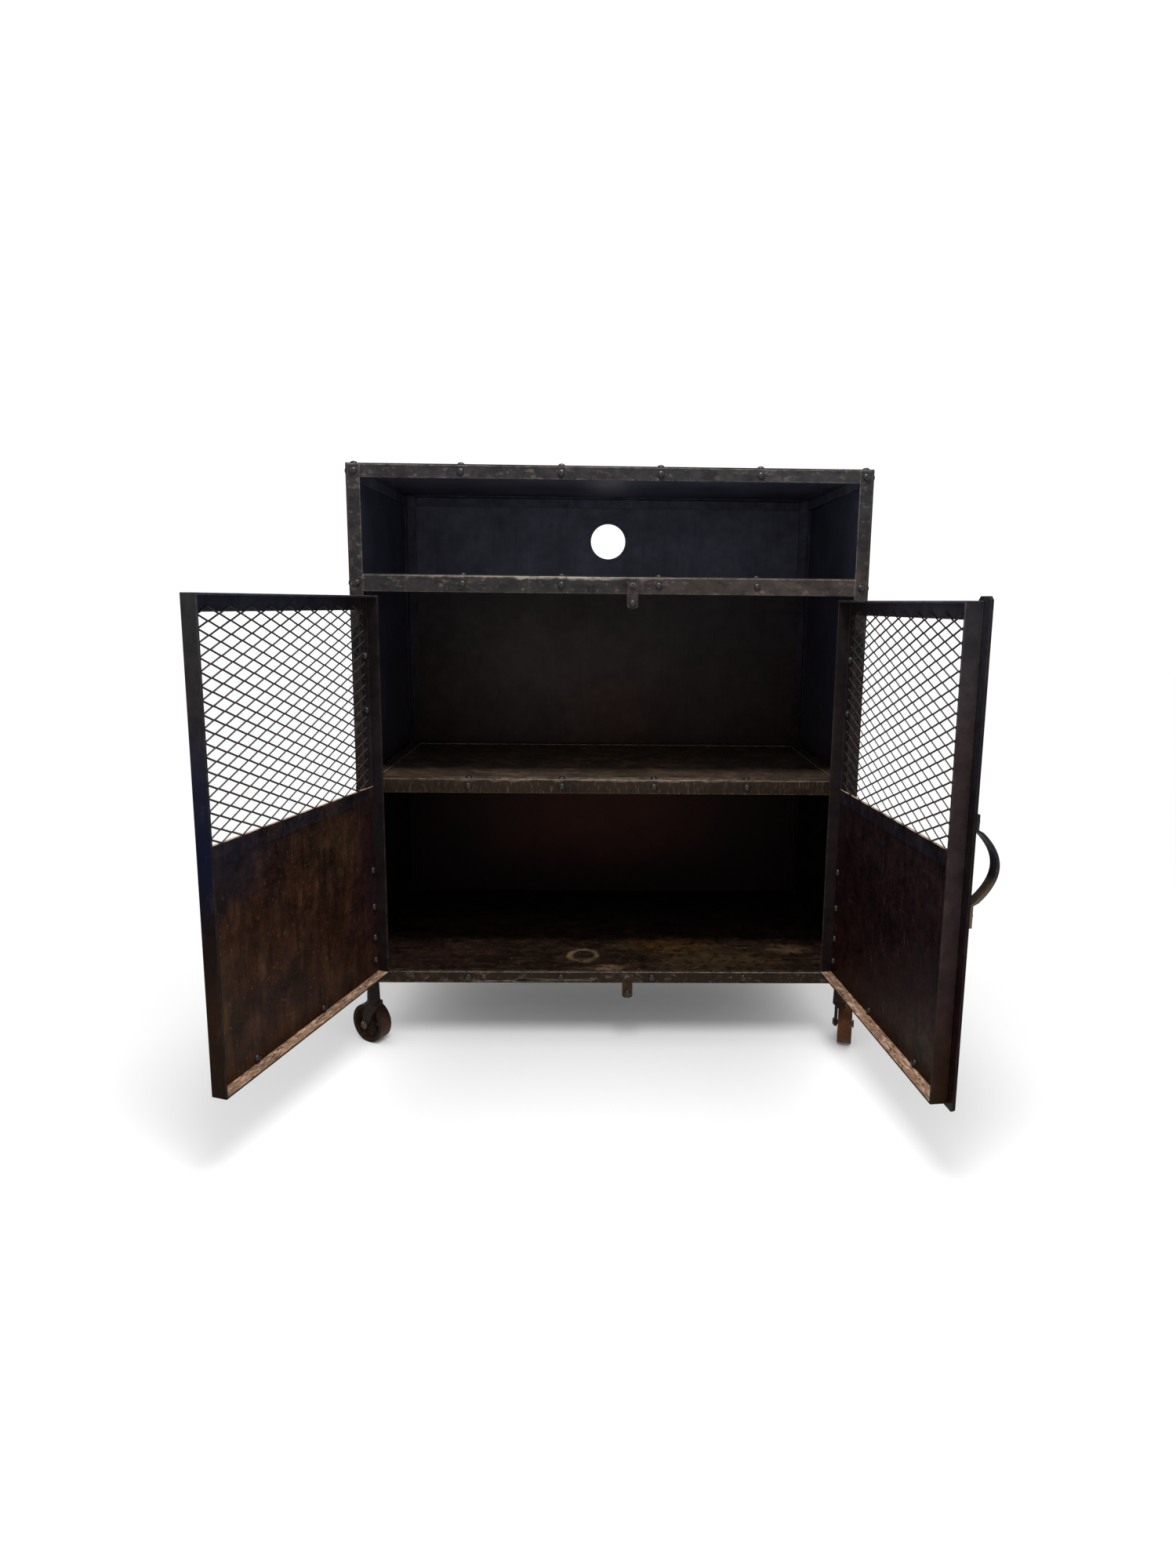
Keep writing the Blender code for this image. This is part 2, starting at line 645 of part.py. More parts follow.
def build_strip_and_pull(axis):
    """The closing strip along the right door's free edge, and the bowed flat-bar pull riveted on it."""
    way = -1
    face = DOOR_FACE - FIT
    outer = DOOR_FREE + STRIP_REACH
    inner = outer - STRIP_W
    z0 = DOOR_Z0 - STRIP_EXTRA
    z1 = DOOR_Z1 + STRIP_EXTRA
    cut = STRIP_CHAMFER
    outline = [
        (way * inner, z0 + cut),
        (way * (inner + cut), z0),
        (way * (outer - cut), z0),
        (way * outer, z0 + cut),
        (way * outer, z1 - cut),
        (way * (outer - cut), z1),
        (way * (inner + cut), z1),
        (way * inner, z1 - cut),
    ]
    bm = bmesh.new()
    prism(bm, outline, face - STRIP_T, face, "y")
    piece("closing_strip", bm, axis, GUNMETAL)

    base = face - STRIP_T - FIT
    bow_low = PULL_LOW_Z + PULL_FOOT
    bow_len = PULL_LEN - PULL_FOOT - PULL_HEEL
    centre = []
    for k in range(PULL_BOW_STEPS + 1):
        share = k / PULL_BOW_STEPS
        lift = PULL_RISE * math.sin(math.pi * share) ** PULL_CURVE
        centre.append((bow_low + bow_len * share, lift))
    path = [(PULL_LOW_Z, 0.0)] + centre + [(PULL_LOW_Z + PULL_LEN, 0.0)]
    inner_side = []
    outer_side = []
    for k, (z, lift) in enumerate(path):
        before = path[max(k - 1, 0)]
        after = path[min(k + 1, len(path) - 1)]
        run = Vector((after[0] - before[0], after[1] - before[1])).normalized()
        inner_side.append((base - lift, z))
        outer_side.append((base - lift - PULL_T * run.x, z - PULL_T * run.y))
    outline = inner_side + outer_side[::-1]
    middle = way * (outer - PULL_IN - PULL_W / 2)
    bm = bmesh.new()
    prism(bm, outline, middle - PULL_W / 2, middle + PULL_W / 2, "x")
    pull = piece("pull_handle", bm, axis, GUNMETAL)
    feet = (PULL_LOW_Z + PULL_FOOT / 2, PULL_LOW_Z + PULL_LEN - PULL_HEEL / 2)
    add_rivets(pull, [(middle, base - PULL_T, z) for z in feet], "y", -1, axis)


def build_latch(name, height, root):
    """A turn button: a flat strap with a round foot, hung on the pivot in its rail."""
    hinge = axis_at(name + "_axis", (LATCH_X, 0.0, height), 0.0, root)
    half = LATCH_W / 2
    outline = [(half, LATCH_HEAD), (-half, LATCH_HEAD)]
    for k in range(LATCH_END_STEPS + 1):
        turn = math.pi + math.pi * k / LATCH_END_STEPS
        outline.append((half * math.cos(turn), LATCH_END_RISE * (1.0 + math.sin(turn)) - LATCH_LEN))
    bm = bmesh.new()
    prism(bm, outline, -FIT - LATCH_T, -FIT, "y")
    strap = piece(name, bm, hinge, GUNMETAL)
    bm = bmesh.new()
    bore = LATCH_PIN_R + LATCH_CLEAR
    lathe(bm, [(0.0, -CAB_D), (bore, -CAB_D), (bore, CAB_D), (0.0, CAB_D)], ROUND, "y", False)
    tool = tool_piece("bore_tool", bm)
    tool.parent = hinge
    combine("bore", strap, [tool], "DIFFERENCE")
    add_rivets(strap, [(0.0, -FIT - LATCH_T, -LATCH_RIVET_DROP)], "y", -1, hinge)


def build_wheel(name, parent):
    """A cast wheel with a wide rim, a hub and spokes; one flat of its tread faces the floor."""
    half = WHEEL_W / 2
    rim_in = WHEEL_R - RIM_DEPTH
    reach = WHEEL_R / math.cos(math.pi / WHEEL_SIDES)
    bore = AXLE_R + AXLE_CLEAR
    web = WEB_T / 2
    profile = [
        (bore, -half),
        (HUB_R, -half),
        (HUB_R + CAST_DRAFT, -web),
        (rim_in - CAST_DRAFT, -web),
        (rim_in, -half),
        (reach, -half),
        (reach, half),
        (rim_in, half),
        (rim_in - CAST_DRAFT, web),
        (HUB_R + CAST_DRAFT, web),
        (HUB_R, half),
        (bore, half),
    ]
    bm = bmesh.new()
    lathe(bm, profile, WHEEL_SIDES, "x", True)
    made = piece(name, bm, None, RUST_BROWN, metallic=0.4, roughness=0.8)
    tools = []
    near = HUB_R + 2 * CAST_DRAFT
    far = rim_in - 2 * CAST_DRAFT
    for k in range(SPOKES):
        middle = GAP_TURN + 2 * math.pi * k / SPOKES
        outline = []
        for radius, order in ((near, 1), (far, -1)):
            spread = math.pi / SPOKES - SPOKE_W / 2 / radius
            for share in (-1.0, 0.0, 1.0):
                turn = middle + order * share * spread
                outline.append((radius * math.cos(turn), radius * math.sin(turn)))
        bm = bmesh.new()
        prism(bm, outline, -WHEEL_W, WHEEL_W, "x")
        tools.append(tool_piece("gap_tool", bm))
    combine("gap", made, tools, "DIFFERENCE")
    made.parent = parent
    made.location = (WHEEL_SIDE, TRAIL, WHEEL_R)


def build_caster(name, place, turn, root):
    """A swivel caster: flanged stem, one-legged cast horn with its housing, bolt axle and spoked wheel."""
    swivel = axis_at(name + "_swivel_axis", (place[0], place[1], 0.0), turn, root)
    top = FRAME_UNDER_Z - FIT
    pivot_end = CROWN_LOW + PIVOT_FLOOR
    bm = bmesh.new()
    profile = [
        (0.0, top),
        (FLANGE_R, top),
        (FLANGE_R, top - FLANGE_T),
        (STEM_R, top - FLANGE_T),
        (STEM_R, HOUSING_TOP + FIT),
        (PIVOT_R, HOUSING_TOP + FIT),
        (PIVOT_R, pivot_end + FIT),
        (0.0, pivot_end + FIT),
    ]
    lathe(bm, profile, ROUND, "z", False)
    made = piece(name + "_stem", bm, root, RUST_BROWN)
    made.location = (place[0], place[1], 0.0)

    leg = WHEEL_W / 2 + HORN_SIDE_GAP + HORN_T
    out = leg - WHEEL_SIDE
    inn = out - HORN_T
    bend = HORN_T
    wide = HORN_TOP_W / 2
    slim = HORN_END_W / 2
    foot = WHEEL_R - slim
    toe = foot + slim * TOE_RISE
    waist = (CROWN_LOW + WHEEL_R) / 2
    path = [
        (CROWN_REACH, CROWN_TOP, CROWN_REACH, CROWN_LOW, wide * HORN_LIP, 0.0),
        (0.0, CROWN_TOP, 0.0, CROWN_LOW, wide, 0.0),
        (-out + bend, CROWN_TOP, -inn, CROWN_LOW, wide, 0.0),
        (-out, CROWN_TOP - bend, -inn, CROWN_LOW - FIT, wide * HORN_NECK, 0.0),
        (-out, waist, -inn, waist, wide * HORN_WAIST, TRAIL / 2),
        (-out, WHEEL_R, -inn, WHEEL_R, slim, TRAIL),
        (-out, toe, -inn, toe, slim * HORN_TOE, TRAIL),
        (-out, foot, -inn, foot, slim * HORN_TIP, TRAIL),
    ]
    bm = bmesh.new()
    rings = []
    for x_out, z_out, x_in, z_in, half, middle in path:
        ring = [
            (x_out, middle - half, z_out),
            (x_out, middle + half, z_out),
            (x_in, middle + half, z_in),
            (x_in, middle - half, z_in),
        ]
        rings.append([bm.verts.new(p) for p in ring])
    for low_ring, high_ring in zip(rings, rings[1:]):
        for k in range(len(low_ring)):
            m = (k + 1) % len(low_ring)
            bm.faces.new((low_ring[k], low_ring[m], high_ring[m], high_ring[k]))
    bm.faces.new(rings[0])
    bm.faces.new(rings[-1])
    bmesh.ops.triangulate(bm, faces=bm.faces[:])
    horn = piece(name + "_horn", bm, None, RUST_BROWN)
    bm = bmesh.new()
    sunk = CROWN_TOP - CROWN_T / 2
    profile = [(0.0, HOUSING_TOP), (HOUSING_TOP_R, HOUSING_TOP), (HOUSING_R, sunk), (0.0, sunk)]
    lathe(bm, profile, ROUND, "z", False)
    combine("housing", horn, [tool_piece("housing_tool", bm)], "UNION")
    bm = bmesh.new()
    hole = PIVOT_R + PIVOT_CLEAR
    lathe(bm, [(0.0, CAB_H), (hole, CAB_H), (hole, pivot_end), (0.0, pivot_end)], ROUND, "z", False)
    pivot_tool = tool_piece("pivot_tool", bm)
    bm = bmesh.new()
    hole = AXLE_R + AXLE_CLEAR
    lathe(bm, [(0.0, -out - HORN_T), (hole, -out - HORN_T), (hole, 0.0), (0.0, 0.0)], ROUND, "x", False)
    bmesh.ops.translate(bm, verts=bm.verts[:], vec=(0.0, TRAIL, WHEEL_R))
    combine("bore", horn, [pivot_tool, tool_piece("axle_tool", bm)], "DIFFERENCE")
    horn.parent = swivel

    bm = bmesh.new()
    head = -leg - FIT
    nut = WHEEL_W / 2 + HORN_SIDE_GAP
    profile = [
        (0.0, head - AXLE_HEAD_H),
        (AXLE_HEAD_R * DOME_R, head - AXLE_HEAD_H),
        (AXLE_HEAD_R, head - AXLE_HEAD_H * (1.0 - DOME_H)),
        (AXLE_HEAD_R, head),
        (AXLE_R, head),
        (AXLE_R, nut),
        (AXLE_HEAD_R, nut),
        (AXLE_HEAD_R, nut + AXLE_HEAD_H),
        (0.0, nut + AXLE_HEAD_H),
    ]
    lathe(bm, profile, ROUND, "x", False)
    made = piece(name + "_axle", bm, swivel, BRIGHT_STEEL)
    made.location = (WHEEL_SIDE, TRAIL, WHEEL_R)
    build_wheel(name + "_wheel", swivel)


def settle(root):
    """Moves the root so that the origin lies on the floor under the middle of the whole box."""
    bpy.context.view_layer.update()
    spots = []
    for made in bpy.data.objects:
        if made.type == "MESH":
            spots += [made.matrix_world @ v.co for v in made.data.vertices]
    low = [min(s[k] for s in spots) for k in range(3)]
    high = [max(s[k] for s in spots) for k in range(3)]
    root.location = (-(low[0] + high[0]) / 2, -(low[1] + high[1]) / 2, 0.0)
    bpy.context.view_layer.update()
    print("root", tuple(round(v, 5) for v in root.location), "box", low, high)


def smooth():
    """Shades the round faces smooth and keeps the sharp corners."""
    for made in bpy.data.objects:
        if made.type == "MESH":
            made.data.shade_smooth()
            made.data.set_sharp_from_angle(angle=SMOOTH_ANGLE)


def build():
    """Builds every piece of the cabinet."""
    clear_scene()
    root = axis_at("cabinet_root", (0.0, 0.0, 0.0))
    build_posts(root)
    build_rails(root)
    build_sheets(root)
    build_shelf(root)
    for side, way, turn in (("left", 1, -LEFT_DOOR_OPEN), ("right", -1, RIGHT_DOOR_OPEN)):
        axis = axis_at(side + "_door_axis", (-way * AXIS_X, -AXIS_DEPTH, 0.0), turn, root)
        build_door(side, way, axis)
        build_hinge(side, way, "low", axis, root, DOOR_Z0 + HINGE_INSET)
        build_hinge(side, way, "high", axis, root, DOOR_Z1 - HINGE_INSET - LEAF_H)
        if side == "right":
            build_strip_and_pull(axis)
    build_latch("top_latch", MID_TOP - LATCH_TOP_DROP, root)
    build_latch("bottom_latch", BASE_TOP - LATCH_LOW_DROP, root)
    front = FRONT_STEM_Y
    rear = CAB_D - REAR_STEM_Y
    half = CAB_W / 2
    build_caster("front_left_caster", (-half + FRONT_LEFT_STEM_IN, front), SWIVEL_FRONT_LEFT, root)
    build_caster("front_right_caster", (half - FRONT_RIGHT_STEM_IN, front), SWIVEL_FRONT_RIGHT, root)
    build_caster("rear_left_caster", (-half + REAR_STEM_IN, rear), SWIVEL_REAR_LEFT, root)
    build_caster("rear_right_caster", (half - REAR_STEM_IN, rear), SWIVEL_REAR_RIGHT, root)
    smooth()
    settle(root)


build()
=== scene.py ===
"""Looks of the bar cabinet on casters: blackened angle iron, blued and browned sheets, expanded metal."""

import json
import math
from collections import namedtuple

import bmesh
import bpy
from mathutils import Matrix, Vector


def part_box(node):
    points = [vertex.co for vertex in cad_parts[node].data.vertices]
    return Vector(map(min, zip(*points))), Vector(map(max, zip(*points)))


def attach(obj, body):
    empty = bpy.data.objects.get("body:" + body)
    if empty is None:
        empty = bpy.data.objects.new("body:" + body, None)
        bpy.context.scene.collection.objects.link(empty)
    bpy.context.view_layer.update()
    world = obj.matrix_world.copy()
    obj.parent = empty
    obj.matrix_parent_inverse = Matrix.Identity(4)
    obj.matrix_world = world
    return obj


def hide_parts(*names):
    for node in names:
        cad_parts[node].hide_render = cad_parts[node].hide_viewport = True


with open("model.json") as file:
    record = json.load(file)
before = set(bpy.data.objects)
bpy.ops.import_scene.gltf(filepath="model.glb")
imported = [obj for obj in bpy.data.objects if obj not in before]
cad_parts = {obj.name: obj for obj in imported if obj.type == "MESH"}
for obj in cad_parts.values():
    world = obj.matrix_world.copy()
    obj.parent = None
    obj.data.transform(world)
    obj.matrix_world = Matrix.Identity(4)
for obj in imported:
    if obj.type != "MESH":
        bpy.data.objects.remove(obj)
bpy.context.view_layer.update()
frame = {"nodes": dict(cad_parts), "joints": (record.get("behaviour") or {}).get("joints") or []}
nodes = frame["nodes"]
scene = bpy.context.scene

MM = 0.001
FRONT, BACK = Vector((0, -1, 0)), Vector((0, 1, 0))
LEFT, RIGHT, UP = Vector((-1, 0, 0)), Vector((1, 0, 0)), Vector((0, 0, 1))

# the cabinet's own origin: the middle of its front, at floor level
top_low, top_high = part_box("top_panel")
CABINET = Vector(((top_low.x + top_high.x) / 2, top_low.y, 0.0))

# the photograph's camera, in its own pixels and in degrees, placed from the cabinet's origin
PHOTO_W, PHOTO_H = 1500, 2000
FOCAL_PX = 1084.68
AXIS_PX = (783.0, 931.5)
CAMERA_AT = CABINET + Vector((-0.01917, -1.51845, 0.8464))
CAMERA_YAW, CAMERA_PITCH, CAMERA_ROLL = 1.0715, -8.5907, 0.6174
SENSOR_MM = 36.0

# from the hinge's axis to the inner face of the door frame's leg, and to the middle of the door's sheet
DOOR_LEG_DEPTH = 7.3 * MM
DOOR_MIDDLE = 0.215
# a height between the doors' dividers and their tops
ABOVE_DIVIDER = 0.60
# the pull's bar and the clearance under it
PULL_BAR = 4.0 * MM
PULL_CLEAR = 0.3 * MM

# expanded metal: the real sheet's pitch, strand and bond
NET_LONG = 42.0 * MM
NET_SHORT = 18.9 * MM
STRAND_W = 2.5 * MM
STRAND_T = 1.5 * MM
STRAND_TILT = math.radians(32)
BOND = 0.8 * MM
# points of a strand nearer than this are one
SAME_SPOT = 1e-9

# round rivet heads: their size, how far they sink in, and their facets
HEAD_R = 6.5 * MM
HEAD_H = 4.2 * MM
HEAD_SINK = 0.5 * MM
HEAD_SIDES = 20
HEAD_RINGS = 5
# the solids' own lower heads show where the round ones go: their height, the slack in finding their
# crowns, and the distance within which points belong to one head
CAD_HEAD_H = 2.4 * MM
LEVEL_SLACK = 0.12 * MM
SAME_HEAD = 8.0 * MM
# rivets of the top face: in from its edges, along its front and back, and along its sides
TOP_RIVET_IN = 8.0 * MM
TOP_RIVETS_X = (-0.4442, -0.260, -0.086, 0.086, 0.260, 0.4442)
TOP_RIVETS_Y = (0.155, 0.302)

# narrow rounded edges, and the bends that are shaded smooth
BAR_EDGE = 0.7 * MM
SMALL_EDGE = 0.35 * MM
EDGE_STEPS = 2
BEND_ANGLE = math.radians(35)
WELD_NEAR = 0.01 * MM

# unevenness of a patch's border and of thin sheet, in mm
BORDER_MM = 22
WAVE_MM = 90
# over how much height one tone gives way to another
FADE = 5.0 * MM
# uneven patterns run from 0 to 1: their roughness, their middle in each direction, and the levels
# between which a cloud thins out
PATTERN_ROUGHNESS = 0.6
PATTERN_MIDDLE = (0.5, 0.5, 0.5)
CLOUD_LEVELS = (0.3, 0.7)
# rubbed edges: the lean off the face where bare metal begins and is full, as cosines
EDGE_LEAN = (0.995, 0.90)
EDGE_SAMPLES = 4
# edges that look up are rubbed most, partly as a painted highlight where they catch light from above, and all
# of them in patches
UPPER_LEAN, UNDER_SHARE = (0.0, 0.6), 0.25
PATCH_LEVELS, PATCH_SHARE = (0.35, 0.6), 0.2
# how squarely a face looks one way where its own tones begin and are full, as cosines
FACE_NEAR = (0.80, 0.92)
WHEEL_FACE_NEAR = (0.25, 0.5)

joints = {joint["name"]: joint for joint in frame["joints"]}
doors = {}
for side, sign in (("left", 1), ("right", -1)):
    hinge = joints[side + "_door_hinge"]
    # one end of the hinge's range is the shut door, so it tells how far the door stands open at rest
    opened = math.radians(max(sign * turn for turn in hinge["range_deg"]))
    doors[side] = {
        "foot": Vector((hinge["pos_m"][0], hinge["pos_m"][1], 0.0)),
        "along": Vector((sign * math.cos(opened), -math.sin(opened), 0.0)),
        "inward": Vector((sign * math.sin(opened), math.cos(opened), 0.0)),
    }

# what a layer of a finish works on: its node tree, the place, the height and the way the surface looks
Skin = namedtuple("Skin", "tree place height way")


def linear(hex_colour, alpha=1.0):
    """An sRGB hex colour in the linear values that the shader takes."""
    values = [int(hex_colour[i:i + 2], 16) / 255 for i in (1, 3, 5)]
    return tuple(v / 12.92 if v <= 0.04045 else ((v + 0.055) / 1.055) ** 2.4 for v in values) + (alpha,)


def add(tree, kind, settings=(), inputs=(), out=0):
    """Add one node with its settings, values and links, and give back one of its outputs.

    Inputs come by name, or as a list in the order of the sockets.
    """
    node = tree.nodes.new(kind)
    for key, value in dict(settings).items():
        if key == "stops":
            ends = node.color_ramp.elements
            for end, (position, colour) in zip(ends, (value[0], value[-1])):
                end.position, end.color = position, colour
            for position, colour in value[1:-1]:
                ends.new(position).color = colour
        else:
            setattr(node, key, value)
    given = inputs if isinstance(inputs, dict) else dict(enumerate(inputs))
    for key, value in given.items():
        socket = node.inputs[key] if isinstance(key, int) else next(
            s for s in node.inputs if s.enabled and s.name == key)
        if isinstance(value, bpy.types.NodeSocket):
            tree.links.new(value, socket)
        else:
            socket.default_value = value
    outs = [s for s in node.outputs if s.enabled]
    if not outs:
        return node
    return outs[out] if isinstance(out, int) else next(s for s in outs if s.name == out)


def pattern(tree, place, size_mm, turn=0.0, detail=4.0):
    """An uneven pattern of a real size in mm, one for all or for each direction, turned about the upright."""
    sizes = size_mm if isinstance(size_mm, tuple) else (size_mm,) * 3
    spread = add(tree, "ShaderNodeMapping", {"vector_type": "TEXTURE"}, {
        "Vector": place, "Rotation": (0.0, 0.0, turn), "Scale": [s * MM for s in sizes]})
    return add(tree, "ShaderNodeTexNoise", inputs={
        "Vector": spread, "Scale": 1.0, "Detail": detail, "Roughness": PATTERN_ROUGHNESS})


def layered(skin, tones, layers):
    """The tone at each height above the floor, with layers laid over it one by one.

    Tones are heights in metres and hex colours. A layer gives how much of it covers, and its colour.
    """
    low, high = tones[0][0], tones[-1][0]
    stops = [((height - low) / (high - low), linear(colour)) for height, colour in tones]
    rise = add(skin.tree, "ShaderNodeMapRange", inputs=[skin.height, low, high, 0.0, 1.0])
    tone = add(skin.tree, "ShaderNodeValToRGB", {"stops": stops}, {"Fac": rise})
    for layer in layers:
        cover, colour = layer(skin)
        tone = add(skin.tree, "ShaderNodeMix", {"data_type": "RGBA"}, {
            "Factor": cover, "A": tone, "B": colour})
    return tone


def blots(size_mm, colour, levels, share, turn=0.0):
    """A layer of blots of a real size in mm, where an uneven pattern passes from one level to the next."""
    def lay(skin):
        uneven = pattern(skin.tree, skin.place, size_mm, turn)
        cover = add(skin.tree, "ShaderNodeMapRange", inputs=[uneven, *levels, 0.0, share])
        return cover, linear(colour)
    return lay


def stain_or_painted_light(middle, reach, colour, share, uneven_mm=30, ring=0.0):
    """A layer with one patch that fades to an uneven border, or a ring of this share of its reach; it draws
    real stains and also painted light and shade.
    """
    def lay(skin):
        tree = skin.tree
        border = add(tree, "ShaderNodeTexNoise", inputs={
            "Vector": skin.place, "Scale": 1 / (BORDER_MM * MM), "Detail": 3.0}, out="Color")
        moved = add(tree, "ShaderNodeVectorMath", {"operation": "SUBTRACT"}, [border, PATTERN_MIDDLE])
        moved = add(tree, "ShaderNodeVectorMath", {"operation": "MULTIPLY_ADD"}, [
            moved, (2 * uneven_mm * MM,) * 3, skin.place])
        moved = add(tree, "ShaderNodeMapping", {"vector_type": "TEXTURE"}, {
            "Vector": moved, "Location": middle, "Scale": reach})
        far = add(tree, "ShaderNodeVectorMath", {"operation": "LENGTH"}, [moved], out="Value")
        if ring:
            far = add(tree, "ShaderNodeMath", {"operation": "SUBTRACT"}, [far, 1.0])
            far = add(tree, "ShaderNodeMath", {"operation": "ABSOLUTE"}, [far])
        cover = add(tree, "ShaderNodeMapRange", {"interpolation_type": "SMOOTHSTEP"}, [
            far, ring or 1.0, 0.0, 0.0, share])
        return cover, linear(colour)
    return lay


def higher_than(height, colour):
    """A layer that covers all that is higher than this, in metres above the floor."""
    def lay(skin):
        cover = add(skin.tree, "ShaderNodeMapRange", inputs=[skin.height, height, height + FADE, 0.0, 1.0])
        return cover, linear(colour)
    return lay


def facing(look, tones, layers=(), near=FACE_NEAR):
    """A layer on the faces that look one way, with tones by height and layers of its own."""
    def lay(skin):
        turned = add(skin.tree, "ShaderNodeVectorMath", {"operation": "DOT_PRODUCT"}, [
            skin.way, look], out="Value")
        cover = add(skin.tree, "ShaderNodeMapRange", inputs=[turned, *near, 0.0, 1.0])
        return cover, layered(skin, tones, layers)
    return lay


def patinated_steel(
        name, tones, layers=(), clouds=((60, 0.3), (14, 0.2)), edge_mm=1.6, bare="#7d756b", bare_share=0.5,
        grain_mm=1.6, grain_depth=0.12, wave_depth=0.0, rough=0.5, rough_spread=0.15, specular=0.08,
        metallic=0.0):
    """Hot-rolled steel with a dark waxed oxide skin: tones by height, layers, clouds, rubbed edges and grain.

    Clouds are sizes in mm and strengths, and waves have their depth in mm. The rough oxide scatters nearly
    all the light that it sends back, so its mirror share is small.
    """
    material = bpy.data.materials.new(name)
    material.use_nodes = True
    tree = material.node_tree
    tree.nodes.clear()
    place = add(tree, "ShaderNodeTexCoord", out="Object")
    way = add(tree, "ShaderNodeTexCoord", out="Normal")
    height = add(tree, "ShaderNodeSeparateXYZ", inputs={"Vector": place}, out="Z")
    tone = layered(Skin(tree, place, height, way), tones, layers)
    # clouds of thicker and thinner oxide; the last and finest also break up the edges and the gloss
    for cloud_mm, strength in clouds:
        cloud = pattern(tree, place, cloud_mm)
        shade = add(tree, "ShaderNodeMapRange", inputs=[
            cloud, *CLOUD_LEVELS, 1.0 - strength, 1.0 + strength])
        tone = add(tree, "ShaderNodeVectorMath", {"operation": "SCALE"}, {"Vector": tone, "Scale": shade})
    # edges rubbed bare, the upper ones most, partly as a painted highlight from above
    surface_way = add(tree, "ShaderNodeNewGeometry", out="Normal")
    rounded = add(tree, "ShaderNodeBevel", {"samples": EDGE_SAMPLES}, {"Radius": edge_mm * MM})
    lean = add(tree, "ShaderNodeVectorMath", {"operation": "DOT_PRODUCT"}, [
        rounded, surface_way], out="Value")
    upper = add(tree, "ShaderNodeSeparateXYZ", inputs={"Vector": rounded}, out="Z")
    worn = add(tree, "ShaderNodeMapRange", inputs=[lean, *EDGE_LEAN, 0.0, bare_share])
    for level, span, least in ((upper, UPPER_LEAN, UNDER_SHARE), (cloud, PATCH_LEVELS, PATCH_SHARE)):
        part = add(tree, "ShaderNodeMapRange", inputs=[level, *span, least, 1.0])
        worn = add(tree, "ShaderNodeMath", {"operation": "MULTIPLY"}, [worn, part])
    tone = add(tree, "ShaderNodeMix", {"data_type": "RGBA"}, {"Factor": worn, "A": tone, "B": linear(bare)})
    gloss = add(tree, "ShaderNodeMapRange", inputs=[
        cloud, *CLOUD_LEVELS, rough - rough_spread, rough + rough_spread])
    # the oxide's own grain is finer than this and is drawn as coarse as it needs to show
    bump = add(tree, "ShaderNodeBump", inputs={
        "Strength": grain_depth, "Distance": grain_mm * MM,
        "Height": pattern(tree, place, grain_mm, detail=3.0)})
    # a thin sheet is never quite flat
    if wave_depth:
        bump = add(tree, "ShaderNodeBump", inputs={
            "Strength": 1.0, "Distance": wave_depth * MM,
            "Height": pattern(tree, place, WAVE_MM, detail=1.0), "Normal": bump})
    surface = add(tree, "ShaderNodeBsdfPrincipled", inputs={
        "Base Color": tone, "Roughness": gloss, "Normal": bump, "Metallic": metallic,
        "Specular IOR Level": specular})
    add(tree, "ShaderNodeOutputMaterial", inputs={"Surface": surface})
    return material


def on_cabinet(x, y, z):
    """A point measured from the middle of the cabinet's front, at floor level."""
    return CABINET + Vector((x, y, z))


def on_door(door, across, height):
    """A point on a door, measured along it from the middle of its sheet, and up from the floor."""
    return door["foot"] + door["along"] * (DOOR_MIDDLE + across) + UP * height


# blackened angle iron: grey-black and dull where it is handled, warm brown low down, with rust freckles
# and edges rubbed pale; the pale lines along the rails' top edges are partly wear, partly a painted highlight
angle_iron = patinated_steel(
    "blackened_angle_iron",
    [(0.13, "#1d1206"), (0.50, "#1f1916"), (0.84, "#222020"), (1.08, "#222123")],
    [
        stain_or_painted_light(on_cabinet(0.30, 0, 0.875), reach=(0.40, 0.1, 0.06), colour="#352e2b", share=0.9),
        # pale line along the mid rail's top edge: partly wear, partly a painted highlight where it catches
        # the light
        stain_or_painted_light(
            on_cabinet(-0.12, 0, 0.8885), reach=(0.34, 0.1, 0.005), colour="#8d8378", share=0.8,
            uneven_mm=7),
        # pale line along the bottom rail's top edge: partly wear, partly a painted highlight where it catches
        # the light
        stain_or_painted_light(
            on_cabinet(0.0, 0, 0.1620), reach=(0.46, 0.1, 0.004), colour="#6b5f50", share=0.7,
            uneven_mm=5),
        stain_or_painted_light(on_cabinet(0.34, 0, 1.065), reach=(0.30, 0.1, 0.06), colour="#2b2a2c", share=0.9),
        blots((30, 30, 12), colour="#121012", levels=(0.50, 0.68), share=0.6),
        blots(8, colour="#3d2e24", levels=(0.55, 0.72), share=0.6),
        blots((16, 16, 9), colour="#575049", levels=(0.57, 0.70), share=0.5),
    ],
    edge_mm=2.0, bare="#a59d93", bare_share=1.0)

# the shelf's angle frame: browner, rubbed in short upright strokes along its front; its upward faces are
# painted lighter as painted light from above, with real scuffs, and the pale line along its front top edge is
# partly wear, partly a painted highlight
shelf_iron = patinated_steel(
    "browned_shelf_iron",
    [(0.49, "#1a110a"), (0.53, "#231911")],
    [
        # upward faces painted lighter: painted light from above, with pale scuffs
        facing(UP, [(0.49, "#2b221b"), (0.53, "#2f2720")], [
            blots(9, colour="#4e4236", levels=(0.55, 0.72), share=0.6)]),
        # pale line along the front top edge: partly wear, partly a painted highlight
        stain_or_painted_light(on_cabinet(0.0, 0, 0.5180), reach=(0.50, 0.1, 0.004), colour="#74665a", share=0.6, uneven_mm=7),
        blots((3, 3, 16), colour="#4c3e31", levels=(0.54, 0.70), share=0.6),
        blots((9, 9, 12), colour="#150f0b", levels=(0.54, 0.68), share=0.7),
    ],
    edge_mm=2.0, bare="#9c8f80", bare_share=1.0)
